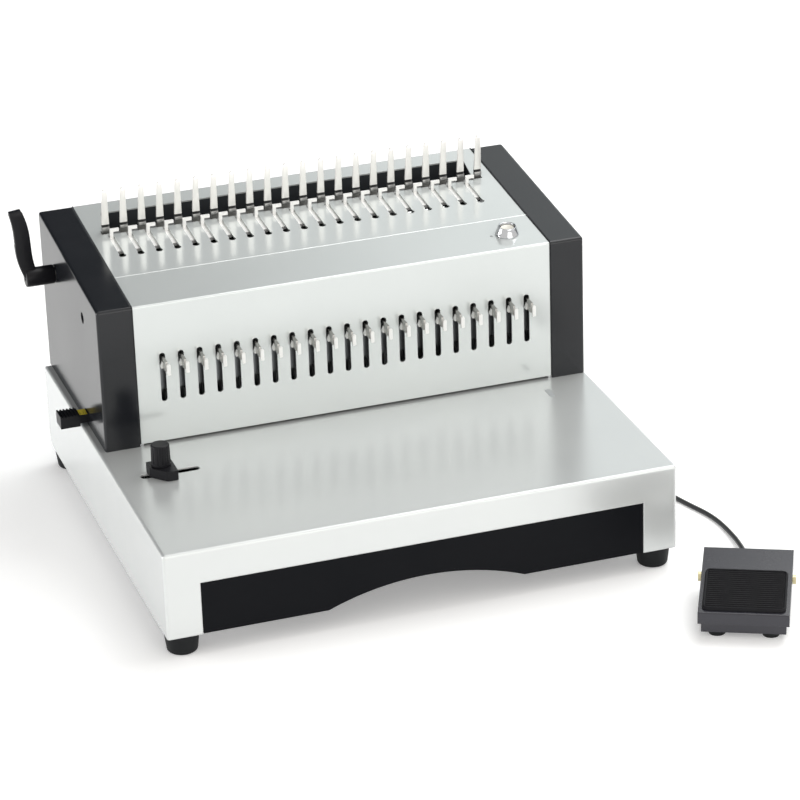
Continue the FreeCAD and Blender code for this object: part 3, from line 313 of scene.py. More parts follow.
def build_edge_wear_and_glint():
    """Breaks an edge mask up into spots: rubbed wear on the paints and plastics, and a painted
    highlight on the rims of the chrome ring and the nickel tabs.
    """
    group, enter, leave = new_group("edge_wear_and_glint", {"Edge": 0.0, "Scale": 160.0, "Amount": 0.5},
                                    {"Mask": "Float"})
    patches = add(group, "ShaderNodeTexNoise")
    patches.inputs["Detail"].default_value = 5.0
    link(group, object_point(group), patches.inputs["Vector"])
    link(group, enter.outputs["Scale"], patches.inputs["Scale"])
    spots = add(group, "ShaderNodeMapRange")
    spots.inputs["From Min"].default_value = 0.45
    spots.inputs["From Max"].default_value = 0.62
    link(group, patches.outputs["Fac"], spots.inputs["Value"])
    spotted_edge = math_node(group, "MULTIPLY", spots.outputs["Result"], enter.outputs["Edge"])
    amount = math_node(group, "MULTIPLY", spotted_edge, enter.outputs["Amount"], clamp=True)
    link(group, amount, leave.inputs["Mask"])
    return group


def build_settled_dust():
    """Thin dust on what faces up, in uneven patches."""
    group, enter, leave = new_group("settled_dust", {"Amount": 0.1, "Scale": 55.0},
                                    {"Mask": "Float"})
    geometry = add(group, "ShaderNodeNewGeometry")
    axes = add(group, "ShaderNodeSeparateXYZ")
    link(group, geometry.outputs["Normal"], axes.inputs["Vector"])
    up = math_node(group, "MAXIMUM", axes.outputs["Z"], 0.0)
    specks = add(group, "ShaderNodeTexNoise")
    specks.inputs["Detail"].default_value = 8.0
    specks.inputs["Roughness"].default_value = 0.7
    link(group, object_point(group), specks.inputs["Vector"])
    link(group, enter.outputs["Scale"], specks.inputs["Scale"])
    patch = math_node(group, "POWER", specks.outputs["Fac"], 2.0)
    lying = math_node(group, "MULTIPLY", up, patch)
    mask = math_node(group, "MULTIPLY", lying, enter.outputs["Amount"], clamp=True)
    link(group, mask, leave.inputs["Mask"])
    return group


def build_brush_lines():
    """Fine parallel lines: each axis has its own scale, low along the brushing."""
    group, enter, leave = new_group("brush_lines", {"X": 1.0, "Y": 1.0, "Z": 1.0},
                                    {"Height": "Float"})
    stretch = add(group, "ShaderNodeCombineXYZ")
    for axis in "XYZ":
        link(group, enter.outputs[axis], stretch.inputs[axis])
    scaled = add(group, "ShaderNodeVectorMath", operation="MULTIPLY")
    link(group, object_point(group), scaled.inputs[0])
    link(group, stretch.outputs[0], scaled.inputs[1])
    lines = add(group, "ShaderNodeTexNoise")
    lines.inputs["Scale"].default_value = 1.0
    lines.inputs["Detail"].default_value = 4.0
    link(group, scaled.outputs[0], lines.inputs["Vector"])
    link(group, lines.outputs["Fac"], leave.inputs["Height"])
    return group


ROUNDED_EDGES = build_rounded_edges()
GRAIN = build_grain()
METAL_FLAKE = build_metal_flake()
EDGE_WEAR_AND_GLINT = build_edge_wear_and_glint()
SETTLED_DUST = build_settled_dust()
BRUSH_LINES = build_brush_lines()


# ---- material builder ----

def place(tree, group, **values):
    """Puts a shared effect into a material with values of its own."""
    node = add(tree, "ShaderNodeGroup", node_tree=group)
    for name, value in values.items():
        socket = node.inputs[name.replace("_", " ")]
        if isinstance(value, (int, float)):
            socket.default_value = value
        else:
            link(tree, value, socket)
    return node


def spread(tree, value, low, high, start=0.0, end=1.0):
    """Maps a value from start..end to low..high, with soft ends."""
    node = add(tree, "ShaderNodeMapRange", interpolation_type="SMOOTHSTEP")
    link(tree, value, node.inputs["Value"])
    node.inputs["From Min"].default_value = start
    node.inputs["From Max"].default_value = end
    node.inputs["To Min"].default_value = low
    node.inputs["To Max"].default_value = high
    return node.outputs["Result"]


def blend_colors(tree, factor, first, second):
    node = add(tree, "ShaderNodeMix", data_type="RGBA")
    link(tree, factor, node.inputs["Factor"])
    sockets = [s for s in node.inputs if s.type == "RGBA"]
    for socket, value in zip(sockets, (first, second)):
        if isinstance(value, tuple):
            socket.default_value = (*value, 1.0)
        else:
            link(tree, value, socket)
    return next(s for s in node.outputs if s.type == "RGBA")


def finish_material(name, color, accent, rough, metallic=0.0, edge_r=0.3 * MM, grain=2500.0,
                    bump=0.02, drift=12.0, wear_and_glint=None, wear_and_glint_amount=0.3, dust=0.05, rough_span=0.08,
                    flake=0.0, brush=None, coat=0.0, coat_rough=0.1, specular=0.5):
    """A surface whose colour drifts between two tones, with grain, lighter edge spots and dust;
    the edge spots are wear on most finishes and a painted highlight on bright metal rims.
    """
    material = bpy.data.materials.new(name)
    material.use_nodes = True
    tree = material.node_tree
    shader = tree.nodes["Principled BSDF"]
    edges = place(tree, ROUNDED_EDGES, Radius=edge_r)
    texture = place(tree, GRAIN, Scale=grain, Drift_Scale=drift)
    tone = spread(tree, texture.outputs["Drift"], 0.0, 1.0, 0.15, 0.85)
    if flake:
        flakes = place(tree, METAL_FLAKE)
        tone = math_node(tree, "MULTIPLY_ADD", flakes.outputs["Flake"], flake)
        link(tree, spread(tree, texture.outputs["Drift"], 0.0, 1.0 - flake, 0.15, 0.85),
             tone.node.inputs[2])
    paint = blend_colors(tree, tone, color, accent)
    if wear_and_glint:
        edge_spots = place(tree, EDGE_WEAR_AND_GLINT, Edge=edges.outputs["Edge"], Amount=wear_and_glint_amount)
        paint = blend_colors(tree, edge_spots.outputs["Mask"], paint, wear_and_glint)
    if dust:
        dusty = place(tree, SETTLED_DUST, Amount=dust)
        paint = blend_colors(tree, dusty.outputs["Mask"], paint, (0.62, 0.60, 0.57))
    link(tree, paint, shader.inputs["Base Color"])
    height = texture.outputs["Height"]
    if brush:
        lines = place(tree, BRUSH_LINES, X=brush[0], Y=brush[1], Z=brush[2])
        height = math_node(tree, "ADD", height, lines.outputs["Height"])
        shine = lines.outputs["Height"]
    else:
        shine = texture.outputs["Drift"]
    link(tree, spread(tree, shine, rough - rough_span / 2, rough + rough_span / 2, 0.15, 0.85),
         shader.inputs["Roughness"])
    surface = add(tree, "ShaderNodeBump")
    surface.inputs["Strength"].default_value = 1.0
    surface.inputs["Distance"].default_value = bump * MM
    link(tree, height, surface.inputs["Height"])
    link(tree, edges.outputs["Normal"], surface.inputs["Normal"])
    link(tree, surface.outputs["Normal"], shader.inputs["Normal"])
    shader.inputs["Metallic"].default_value = metallic
    shader.inputs["Specular IOR Level"].default_value = specular
    shader.inputs["Coat Weight"].default_value = coat
    shader.inputs["Coat Roughness"].default_value = coat_rough
    return material


# ---- finishes of this machine ----

BASE_SILVER = finish_material(
    "base_silver_paint", (0.645, 0.665, 0.665), (0.675, 0.695, 0.69), rough=0.25, metallic=0.45,
    flake=0.12, rough_span=0.03, bump=0.004, wear_and_glint=(0.8, 0.8, 0.8), wear_and_glint_amount=0.2, dust=0.04,
    coat=0.15, coat_rough=0.2, edge_r=1.6 * MM)
COVER_SILVER = finish_material(
    "cover_silver_paint", (0.645, 0.678, 0.672), (0.675, 0.705, 0.70), rough=0.15, metallic=0.35,
    flake=0.12, rough_span=0.03, bump=0.002, wear_and_glint=(0.8, 0.8, 0.8), wear_and_glint_amount=0.2, dust=0.03,
    coat=0.25, coat_rough=0.15)
TROUGH_BLACK = finish_material(
    "trough_black_paint", (0.026, 0.030, 0.034), (0.034, 0.038, 0.043), rough=0.5, bump=0.01,
    wear_and_glint=(0.2, 0.2, 0.2), dust=0.05)
CAP_PLASTIC = finish_material(
    "cap_gloss_plastic", (0.008, 0.009, 0.011), (0.011, 0.012, 0.015), rough=0.2, bump=0.002,
    grain=900.0, wear_and_glint=(0.05, 0.05, 0.055), dust=0.012, edge_r=1.0 * MM, rough_span=0.06,
    specular=0.42)
DRAWER_PLASTIC = finish_material(
    "drawer_satin_plastic", (0.003, 0.0035, 0.005), (0.005, 0.0055, 0.007), rough=0.36, bump=0.008,
    grain=1600.0, wear_and_glint=(0.03, 0.03, 0.035), dust=0.006, edge_r=0.5 * MM, specular=0.08)
CONTROL_PLASTIC = finish_material(
    "control_black_plastic", (0.006, 0.006, 0.008), (0.010, 0.010, 0.012), rough=0.36, bump=0.01,
    grain=2200.0, wear_and_glint=(0.05, 0.05, 0.055), dust=0.01, specular=0.2)
LEVER_PLASTIC = finish_material(
    "lever_black_plastic", (0.006, 0.006, 0.008), (0.010, 0.010, 0.012), rough=0.33, bump=0.008,
    grain=1500.0, wear_and_glint=(0.05, 0.05, 0.055), dust=0.01, specular=0.2)
FOOT_RUBBER = finish_material(
    "foot_rubber", (0.008, 0.009, 0.010), (0.013, 0.014, 0.015), rough=0.55, bump=0.015,
    grain=1800.0, wear_and_glint=(0.05, 0.05, 0.05), dust=0.01, specular=0.15)
PAD_RUBBER = finish_material(
    "pedal_pad_rubber", (0.007, 0.007, 0.009), (0.012, 0.012, 0.014), rough=0.45, bump=0.015,
    grain=1800.0, wear_and_glint=(0.05, 0.05, 0.055), dust=0.01, specular=0.12)
FINGER_STEEL = finish_material(
    "finger_bright_steel", (0.90, 0.89, 0.86), (0.94, 0.93, 0.90), rough=0.38, metallic=0.5,
    bump=0.001, wear_and_glint=(0.9, 0.9, 0.88), dust=0.0, rough_span=0.04, edge_r=0.25 * MM)
# Darker copies of the finger steel: on the feet a painted dark reflection, in the notches painted
# shade.
FINGER_FOOT_PAINTED_REFLECTION = finish_material(
    "finger_foot_painted_reflection", (0.30, 0.30, 0.295), (0.36, 0.36, 0.35), rough=0.35, metallic=0.8,
    bump=0.001, wear_and_glint=(0.6, 0.6, 0.58), dust=0.0, rough_span=0.04, edge_r=0.25 * MM)
FINGER_NOTCH_PAINTED_SHADE = finish_material(
    "finger_notch_painted_shade", (0.035, 0.035, 0.036), (0.05, 0.05, 0.05), rough=0.4, metallic=0.5,
    bump=0.001, dust=0.0, rough_span=0.04, edge_r=0.2 * MM)
HOOK_STEEL = finish_material(
    "hook_satin_steel", (0.93, 0.925, 0.91), (0.96, 0.955, 0.94), rough=0.36, metallic=0.35,
    bump=0.001, wear_and_glint=(0.95, 0.95, 0.92), dust=0.0, rough_span=0.05, edge_r=0.3 * MM)
SCALE_YELLOW = finish_material(
    "scale_yellow_print", (0.62, 0.50, 0.03), (0.70, 0.57, 0.05), rough=0.4, bump=0.003, dust=0.03)
PILOT_LENS = finish_material(
    "pilot_lens", (0.30, 0.32, 0.32), (0.36, 0.38, 0.38), rough=0.2, bump=0.001, dust=0.0)
PLUG_GREY = finish_material(
    "plug_grey_plastic", (0.34, 0.36, 0.37), (0.40, 0.42, 0.43), rough=0.4, bump=0.01)
# Its strongly set, light edge spots are a painted highlight on the ring's lip and rims.
RING_CHROME = finish_material(
    "ring_dark_chrome", (0.50, 0.51, 0.53), (0.56, 0.57, 0.59), rough=0.09, metallic=1.0,
    bump=0.001, wear_and_glint=(0.95, 0.95, 0.93), wear_and_glint_amount=1.2, dust=0.0, rough_span=0.04,
    edge_r=0.35 * MM)
# Its light edge spots are a painted highlight on the tab's rims.
TAB_NICKEL = finish_material(
    "tab_nickel", (0.34, 0.335, 0.32), (0.40, 0.395, 0.375), rough=0.24, metallic=1.0,
    bump=0.001, brush=(200.0, 200.0, 9000.0), wear_and_glint=(0.8, 0.8, 0.78), dust=0.0, edge_r=0.25 * MM)
# A lighter copy of the tabs' nickel: painted highlight on the bent end and lug.
TAB_END_PAINTED_HIGHLIGHT = finish_material(
    "tab_end_painted_highlight", (0.78, 0.78, 0.76), (0.84, 0.84, 0.82), rough=0.35, metallic=0.5,
    bump=0.001, wear_and_glint=(0.9, 0.9, 0.88), dust=0.0, rough_span=0.04, edge_r=0.3 * MM)
# Kept darker than ground steel's own tone: partly painted shade for the ram and pins seen inside
# the slots.
TOOL_STEEL_AND_SLOT_SHADE = finish_material(
    "ground_tool_steel_and_slot_shade", (0.22, 0.23, 0.24), (0.30, 0.31, 0.32), rough=0.35, metallic=1.0,
    bump=0.003, brush=(200.0, 9000.0, 9000.0), dust=0.03, edge_r=0.15 * MM)
ZINC_PLATE = finish_material(
    "zinc_plated_steel", (0.46, 0.47, 0.48), (0.56, 0.57, 0.58), rough=0.36, metallic=1.0,
    bump=0.003, drift=60.0, dust=0.05)
CAST_METAL = finish_material(
    "cast_aluminium", (0.36, 0.37, 0.38), (0.45, 0.46, 0.47), rough=0.5, metallic=0.9,
    bump=0.04, grain=900.0, dust=0.08)
BOARD_GREEN = finish_material(
    "circuit_board_green", (0.012, 0.09, 0.045), (0.02, 0.12, 0.06), rough=0.35, bump=0.004,
    dust=0.08, coat=0.3)
BUTTON_CREAM = finish_material(
    "button_cream_plastic", (0.74, 0.72, 0.64), (0.80, 0.78, 0.71), rough=0.3, bump=0.003,
    dust=0.02, coat=0.2)
PEDAL_PAINT = finish_material(
    "pedal_grey_paint", (0.016, 0.016, 0.023), (0.023, 0.023, 0.032), rough=0.25,
    flake=0.3, bump=0.008, grain=1500.0, wear_and_glint=(0.2, 0.2, 0.22), dust=0.03, edge_r=0.4 * MM,
    specular=0.6)
BRASS = finish_material(
    "screw_brass", (0.62, 0.55, 0.32), (0.70, 0.64, 0.42), rough=0.3, metallic=1.0, bump=0.003,
    wear_and_glint=(0.8, 0.75, 0.5), dust=0.03)
CORD_PVC = finish_material(
    "cord_black_pvc", (0.010, 0.010, 0.011), (0.016, 0.016, 0.018), rough=0.42, bump=0.01,
    grain=1500.0, dust=0.06)

NODE_FINISH = {
    "base_housing": BASE_SILVER,
    "base_pan": ZINC_PLATE,
    "rubber_feet": FOOT_RUBBER,
    "side_frame_left": ZINC_PLATE,
    "side_frame_right": ZINC_PLATE,
    "end_cap_left": CAP_PLASTIC,
    "end_cap_right": CAP_PLASTIC,
    "front_top_cover": COVER_SILVER,
    "rear_cover": COVER_SILVER,
    "comb_trough": TROUGH_BLACK,
    "hook_carriage": HOOK_STEEL,
    "lever_shaft": ZINC_PLATE,
    "die_plate": TOOL_STEEL_AND_SLOT_SHADE,
    "pin_guide": TOOL_STEEL_AND_SLOT_SHADE,
    "punch_ram": TOOL_STEEL_AND_SLOT_SHADE,
    "punch_pins": TOOL_STEEL_AND_SLOT_SHADE,
    "crankshaft": ZINC_PLATE,
    "gearmotor": CAST_METAL,
    "control_board": BOARD_GREEN,
    "power_inlet": CONTROL_PLASTIC,
    "power_rocker": CONTROL_PLASTIC,
    "cord_glands": CONTROL_PLASTIC,
    "depth_slider": CONTROL_PLASTIC,
    "edge_guide": CONTROL_PLASTIC,
    "edge_guide_knob": CONTROL_PLASTIC,
    "chip_drawer": DRAWER_PLASTIC,
    "case_screws": ZINC_PLATE,
    "pedal_base": PEDAL_PAINT,
    "pedal_treadle": PEDAL_PAINT,
    "pedal_feet": FOOT_RUBBER,
    "pedal_pivot_screws": BRASS,
    "pedal_microswitch": CONTROL_PLASTIC,
}


def dress(node, material):
    """Gives a node of the frame its finish."""
    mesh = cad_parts[node].data
    mesh.materials.clear()
    mesh.materials.append(material)


for node_name, finish in NODE_FINISH.items():
    dress(node_name, finish)


# ---- shaping helpers: every point is given in millimetres ----

SMOOTH_ANGLE = math.radians(38)


def on_deck(x, s, h):
    """A point s behind the bend line and h above the sloping deck."""
    return Vector((x, BEND_Y + s * math.cos(DECK_SLOPE) - h * math.sin(DECK_SLOPE),
                   BEND_Z + s * math.sin(DECK_SLOPE) + h * math.cos(DECK_SLOPE))) * MM


def on_strip(x, s, h):
    """A point s behind the front top edge and h above the front strip."""
    return Vector((x, FRONT_Y + s * math.cos(STRIP_SLOPE) - h * math.sin(STRIP_SLOPE),
                   FRONT_Z + s * math.sin(STRIP_SLOPE) + h * math.cos(STRIP_SLOPE))) * MM


def on_pedal(x, y, z):
    """A point in the pedal's own axes."""
    return Vector((PEDAL_X + x * math.cos(PEDAL_TURN) - y * math.sin(PEDAL_TURN),
                   PEDAL_Y + x * math.sin(PEDAL_TURN) + y * math.cos(PEDAL_TURN), z)) * MM


def pedal_top(y):
    """Height of the sloping tread, y behind the pedal's middle."""
    return PEDAL_FRONT_Z + (y + PEDAL_L / 2) * (PEDAL_BACK_Z - PEDAL_FRONT_Z) / PEDAL_L


def in_place(x, y, z):
    return Vector((x, y, z)) * MM


def finger_x(index):
    """The middle of a finger; fingers stand between the punches."""
    return PUNCH_SHIFT + (index - PUNCH_COUNT / 2) * PITCH


def punch_x(index):
    return PUNCH_SHIFT + (index - (PUNCH_COUNT - 1) / 2) * PITCH


def skin_loops(shape, loops, closed_ends=True):
    """Joins rings of points, all of the same count, into one closed skin."""
    rings = [[shape.verts.new(p) for p in loop] for loop in loops]
    count = len(rings[0])
    for ring, above in zip(rings, rings[1:]):
        for i in range(count):
            j = (i + 1) % count
            shape.faces.new((ring[i], ring[j], above[j], above[i]))
    if closed_ends:
        shape.faces.new(list(reversed(rings[0])))
        shape.faces.new(rings[-1])


def rounded_rect(x0, x1, y0, y1, r, steps=3):
    """Points round a rectangle whose corners have radius r."""
    points = []
    for cx, cy, turn in ((x1 - r, y1 - r, 0.0), (x0 + r, y1 - r, 0.5),
                         (x0 + r, y0 + r, 1.0), (x1 - r, y0 + r, 1.5)):
        for step in range(steps + 1):
            angle = math.pi * (turn + 0.5 * step / steps)
            points.append((cx + r * math.cos(angle), cy + r * math.sin(angle)))
    return points


def lathe(shape, profile, spot, steps=48):
    """Turns a profile of (radius, height) round; spot maps (x, y, height) to its place."""
    rings = []
    for radius, height in profile:
        if radius < 0.001:
            rings.append([shape.verts.new(spot(0.0, 0.0, height))])
            continue
        ring = []
        for step in range(steps):
            angle = 2 * math.pi * step / steps
            ring.append(shape.verts.new(spot(radius * math.cos(angle),
                                             radius * math.sin(angle), height)))
        rings.append(ring)
    for ring, above in zip(rings, rings[1:]):
        for i in range(steps):
            j = (i + 1) % steps
            if len(ring) == 1:
                shape.faces.new((ring[0], above[j], above[i]))
            elif len(above) == 1:
                shape.faces.new((ring[i], ring[j], above[0]))
            else:
                shape.faces.new((ring[i], ring[j], above[j], above[i]))


def slab(shape, outline, spot, low, high, rim=0.3):
    """A plate of the outline's shape whose upper rim is rounded over."""
    middle = Vector((sum(p[0] for p in outline), sum(p[1] for p in outline))) / len(outline)
    size = max((Vector(p) - middle).length for p in outline)
    loops = []
    edge = ((0.0, low), (0.0, high - rim), (rim * 0.3, high - rim * 0.3), (rim, high))
    for inset, height in edge:
        scale = 1 - inset / size
        loops.append([spot(middle.x + (x - middle.x) * scale, middle.y + (y - middle.y) * scale,
                           height) for x, y in outline])
    skin_loops(shape, loops)


def new_piece(name, shape, material, body, slot, *replaced):
    """Turns a shape into a named piece that rides on a body and may stand in for CAD nodes."""
    bmesh.ops.recalc_face_normals(shape, faces=shape.faces)
    mesh = bpy.data.meshes.new(name)
    shape.to_mesh(mesh)
    shape.free()
    mesh.shade_smooth()
    mesh.set_sharp_from_angle(angle=SMOOTH_ANGLE)
    mesh.materials.append(material)
    piece = bpy.data.objects.new(name, mesh)
    scene.collection.objects.link(piece)
    if replaced:
        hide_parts(*replaced)
    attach(piece, body)
    return piece


# ---- comb fingers: bent steel strips on a bar ----

def finger_loops(x):
    """A foot that swells forward, a notch, then a blade that tapers to a round tip."""
    stations = [(h, FINGER_HALF, front) for h, front in FOOT_PROFILE]
    blade_top = FINGER_H - FINGER_TIP
    for step in range(1, BLADE_STEPS + 1):
        way = step / BLADE_STEPS
        stations.append((BLADE_LOW + (blade_top - BLADE_LOW) * way,
                         FINGER_HALF + (FINGER_TIP - FINGER_HALF) * way, FINGER_FRONT))
    for step in range(1, TIP_STEPS):
        angle = math.pi / 2 * step / TIP_STEPS
        stations.append((blade_top + FINGER_TIP * math.sin(angle),
                         FINGER_TIP * math.cos(angle), FINGER_FRONT + 0.1 * step))
    loops = []
    for h, half, front in stations:
        lean = math.tan(FINGER_LEAN) * max(h - FINGER_BEND, 0.0)
        corner = min(0.35, half * 0.4, (FINGER_BACK - front) * 0.3)
        ring = rounded_rect(-half, half, front + lean, FINGER_BACK + lean, corner, steps=2)
        loops.append([on_deck(x + px, FINGER_S + py, h) for px, py in ring])
    return loops


def paint_finger_foot_shade(shape):
    """Paints shade on the fingers: the faces of the feet get material 1, a darker steel as a
    painted dark reflection, and those of the notches material 2, a near-black steel as painted
    shade.
    """
    root = on_deck(0.0, 0.0, 0.0)
    up = on_deck(0.0, 0.0, 1.0) - root
    for face in shape.faces:
        h = (face.calc_center_median() - root).dot(up) / MM ** 2
        if h < FOOT_TOP:
            face.material_index = 1
        elif h < NOTCH_TOP:
            face.material_index = 2


def build_comb_fingers():
    shape = bmesh.new()
    for index in range(PUNCH_COUNT + 1):
        skin_loops(shape, finger_loops(finger_x(index)))
    low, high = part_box("comb_trough")
    x0, x1 = low[0] / MM, high[0] / MM
    bar = rounded_rect(FINGER_S - BAR_HALF, FINGER_S + BAR_HALF, BAR_LOW, BAR_TOP, 0.6)
    skin_loops(shape, [[on_deck(x, s, h) for s, h in bar] for x in (x0, x1)])
    paint_finger_foot_shade(shape)
    piece = new_piece("comb_fingers", shape, FINGER_STEEL, "machine", "chrome_steel", "finger_bar")
    piece.data.materials.append(FINGER_FOOT_PAINTED_REFLECTION)
    piece.data.materials.append(FINGER_NOTCH_PAINTED_SHADE)


# ---- fold and seams of the cover ----

def build_cover_fold():
    """The rounded crest where the front strip turns up into the deck."""
    shape = bmesh.new()
    steps = 8
    turns = [math.pi * step / steps for step in range(steps + 1)]
    arc = [(FOLD_HALF * math.cos(turn), FOLD_RISE * math.sin(turn) - 0.03) for turn in turns]
    section = arc + [(-FOLD_HALF, -FOLD_RISE), (FOLD_HALF, -FOLD_RISE)]
    ends = (COVER_MIDDLE - COVER_HALF + SUNK, COVER_MIDDLE + COVER_HALF - SUNK)
    skin_loops(shape, [[on_deck(x, s, h) for s, h in section] for x in ends])
    new_piece("cover_fold", shape, COVER_SILVER, "machine", "silver_paint")


def build_cap_lips_and_gap_shade():
    """The black lips of both caps that lie on the edges of the cover; they also stand as painted
    shade for the dark gap between caps and cover.
    """
    for side, name in ((-1, "left"), (1, "right")):
        shape = bmesh.new()
        edge = COVER_MIDDLE + side * COVER_HALF
        inner = edge - side * LIP_W
        route = [(FRONT_Y, COVER_LOW_Z), (FRONT_Y, FRONT_Z), (BEND_Y, BEND_Z), (REAR_Y, REAR_Z)]
        outward = [(-1, 0), (-0.7, 0.7), (-0.08, 1), (-0.08, 1)]
        section = [(edge, -SUNK), (inner, -SUNK), (inner, LIP_H * 0.6),
                   (inner + side * 0.2, LIP_H), (edge, LIP_H)]
        loops = []
        for (y, z), (dy, dz) in zip(route, outward):
            loops.append([in_place(x, y + dy * rise, z + dz * rise) for x, rise in section])
        skin_loops(shape, loops)
        new_piece("cap_lip_and_gap_shade_" + name, shape, CAP_PLASTIC, "machine", "black_gloss_plastic")


# ---- selector tabs: a flat stem, a bent end and a small lug by the slot ----

def tab_plate(shape, outline, ends, material_index):
    """A thin plate between two planes; outline(end) gives its points in the plane at end."""
    before = set(shape.faces)
    skin_loops(shape, [[in_place(*point) for point in outline(end)] for end in ends])
    for face in set(shape.faces) - before:
        face.material_index = material_index


def build_tab(index):
    """One tab, whose stem is nickel and whose bent end and lug get a lighter copy of the nickel as
    a painted highlight.
    """
    shape = bmesh.new()
    x = punch_x(index)
    tip = FRONT_Y - TAB_OUT
    left = x - TAB_HALF_T
    stem = rounded_rect(tip, FRONT_Y + TAB_IN, TAB_Z - STEM_HALF, TAB_Z + STEM_HALF, 0.5, 2)
    tab_plate(shape, lambda side: [(side, y, z) for y, z in stem], (left, x + TAB_HALF_T), 0)
    bent = rounded_rect(x + END_LEFT, x + END_RIGHT, TAB_Z - END_DROP, TAB_Z + END_RISE, 0.6, 2)
    tab_plate(shape, lambda end: [(px, end, z) for px, z in bent], (tip - END_T, tip), 1)
    lug = [(left, TAB_Z - STEM_HALF), (left, TAB_Z + 0.8), (x - LUG_LEFT, TAB_Z - 2.6),
           (x - LUG_LEFT, TAB_Z - STEM_HALF)]
    tab_plate(shape, lambda end: [(px, end, z) for px, z in lug],
              (FRONT_Y - LUG_NEAR, FRONT_Y - LUG_FAR), 1)
    number = f"{index + 1:02d}"
    piece = new_piece("tab_plate_" + number, shape, TAB_NICKEL, "tab_" + number,
                      "nickel_steel", "selector_tab_" + number)
    piece.data.materials.append(TAB_END_PAINTED_HIGHLIGHT)


def build_tabs():
    for index in range(PUNCH_COUNT):
        build_tab(index)


# ---- start button ----

def build_start_button():
    """A chrome ring with its neck and nut, the dished cap in it and the lamp beside it."""
    spot = lambda x, y, h: on_strip(BUTTON_X + x, BUTTON_S + y, h)
    ring = bmesh.new()
    lathe(ring, [(0, -14), (7.2, -14), (7.2, -5.2), (10, -5.2), (10, -1.3), (7.2, -1.3), (7.2, 0),
                 (8.8, 0.0), (9.0, 0.2), (9.0, 0.9), (8.8, 1.3), (7.1, 5.8), (7.0, 6.5),
                 (6.8, 6.9), (6.4, 7.0), (6.05, 6.85), (5.8, 6.3), (5.72, 5.5), (5.72, -11),
                 (0, -11)], spot, 64)
    new_piece("button_ring", ring, RING_CHROME, "machine", "chrome_steel", "button_bezel")
    cap = bmesh.new()
    lathe(cap, [(0, -7), (5.4, -7), (5.4, 4.6), (5.3, 5.1), (5.0, 5.45), (4.6, 5.55), (4.2, 5.4),
                (3.2, 5.05), (1.8, 4.8), (0, 4.7)], spot, 64)
    new_piece("button_cap", cap, BUTTON_CREAM, "button", "cream_plastic", "push_button")
    pilot = lambda x, y, h: on_strip(BUTTON_X - PILOT_LEFT + x, BUTTON_S + y, h)
    lamp = bmesh.new()
    lathe(lamp, [(0, -0.6), (1.1, -0.6), (1.1, 0.15), (0.9, 0.35), (0, 0.5)], pilot, 24)
    new_piece("pilot_lamp", lamp, PILOT_LENS, "machine", "cream_plastic")


# ---- opening lever ----

def lever_centre(way):
    """Sideways shift and rise of the arm's middle, from 0 at the hub to 1 at the tip."""
    bow = way + 0.13 * math.sin(2 * math.pi * way) + 0.04 * math.sin(math.pi * way)
    return -ARM_OUT * bow, ARM_RISE * way


def arm_loop(step, root_x):
    """One ring of points round the arm: every second one on the grip stands back."""
    way = step / ARM_STEPS
    x, rise = lever_centre(way)
    ahead, behind = lever_centre(min(way + 0.01, 1.0)), lever_centre(max(way - 0.01, 0.0))
    lean = 0.4 * math.atan2(ahead[0] - behind[0], ahead[1] - behind[1])
    half = ARM_HALF + ARM_SWELL * math.sin(math.pi * way)
    thick = ARM_T / 2
    ridge = 0.0
    if GRIP_START < way < GRIP_END:
        ridge = RIDGE_DEPTH * (step % 2)
    if way > GRIP_END:
        half -= 0.5
        thick -= 0.4
    loop = []
    for across, deep in rounded_rect(-half, half - ridge * 0.3, -thick, thick, 1.1, steps=3):
        if across < 0:
            across += ridge
        loop.append(in_place(root_x + x + across * math.cos(lean), LEVER_Y + deep,
                             LEVER_Z + rise - across * math.sin(lean)))
    return loop


def build_lever():
    """The hub on its shaft and the bowed arm that grows out of it."""
    shape = bmesh.new()
    hub_x0 = CAP_FACE_LEFT - HUB_L
    hub = lambda a, b, h: in_place(hub_x0 + h, LEVER_Y + a, LEVER_Z + b)
    end = HUB_L - 0.4
    hole_end = HUB_L * 0.3
    lathe(shape, [(0, 2.2), (2.0, 2.2), (2.2, 2.0), (2.2, 0.3), (2.5, 0), (6.2, 0), (6.9, 0.25),
                  (7.25, 0.9), (HUB_R, 1.6), (HUB_R, end - 0.6), (6.9, end), (SHAFT_HOLE_R, end),
                  (SHAFT_HOLE_R, hole_end), (0, hole_end)], hub, 48)
    skin_loops(shape, [arm_loop(step, hub_x0 + ARM_ROOT) for step in range(ARM_STEPS + 1)])
    new_piece("lever_arm", shape, LEVER_PLASTIC, "lever", "black_plastic", "opening_lever")


# ---- margin slider scale ----

def build_slider_scale():
    """A small yellow plate on the slider's neck, with long and short marks by turns."""
    spot = lambda x, y, h: in_place(x, y, SLIDER_Z + SLIDER_NECK_H / 2 + h)
    shape = bmesh.new()
    plate = rounded_rect(CAP_FACE_LEFT - SCALE_FAR, CAP_FACE_LEFT - SCALE_NEAR,
                         SLIDER_Y - SCALE_HALF, SLIDER_Y + SCALE_HALF, 0.4)
    slab(shape, plate, spot, -0.05, 0.25, 0.1)
    new_piece("slider_scale", shape, SCALE_YELLOW, "depth_stop", "cream_plastic")
    marks = bmesh.new()
    y = SLIDER_Y - MARK_START
    for index in range(5):
        x = CAP_FACE_LEFT - MARK_FIRST + index * MARK_PITCH
        reach = MARK_LONG if index % 2 == 0 else MARK_SHORT
        slab(marks, rounded_rect(x, x + MARK_W, y, y + reach, 0.1), spot, 0.2, 0.3, 0.05)
    new_piece("slider_marks", marks, CONTROL_PLASTIC, "depth_stop", "black_plastic")


# ---- pedal pad: a rimmed rubber mat with ribs across it ----

def pad_outline(front, inset, radius):
    """The mat's outline, moved in by inset."""
    half = PAD_W / 2 - inset
    return rounded_rect(-half, half, front + inset, front + PAD_L - inset, radius, 5)


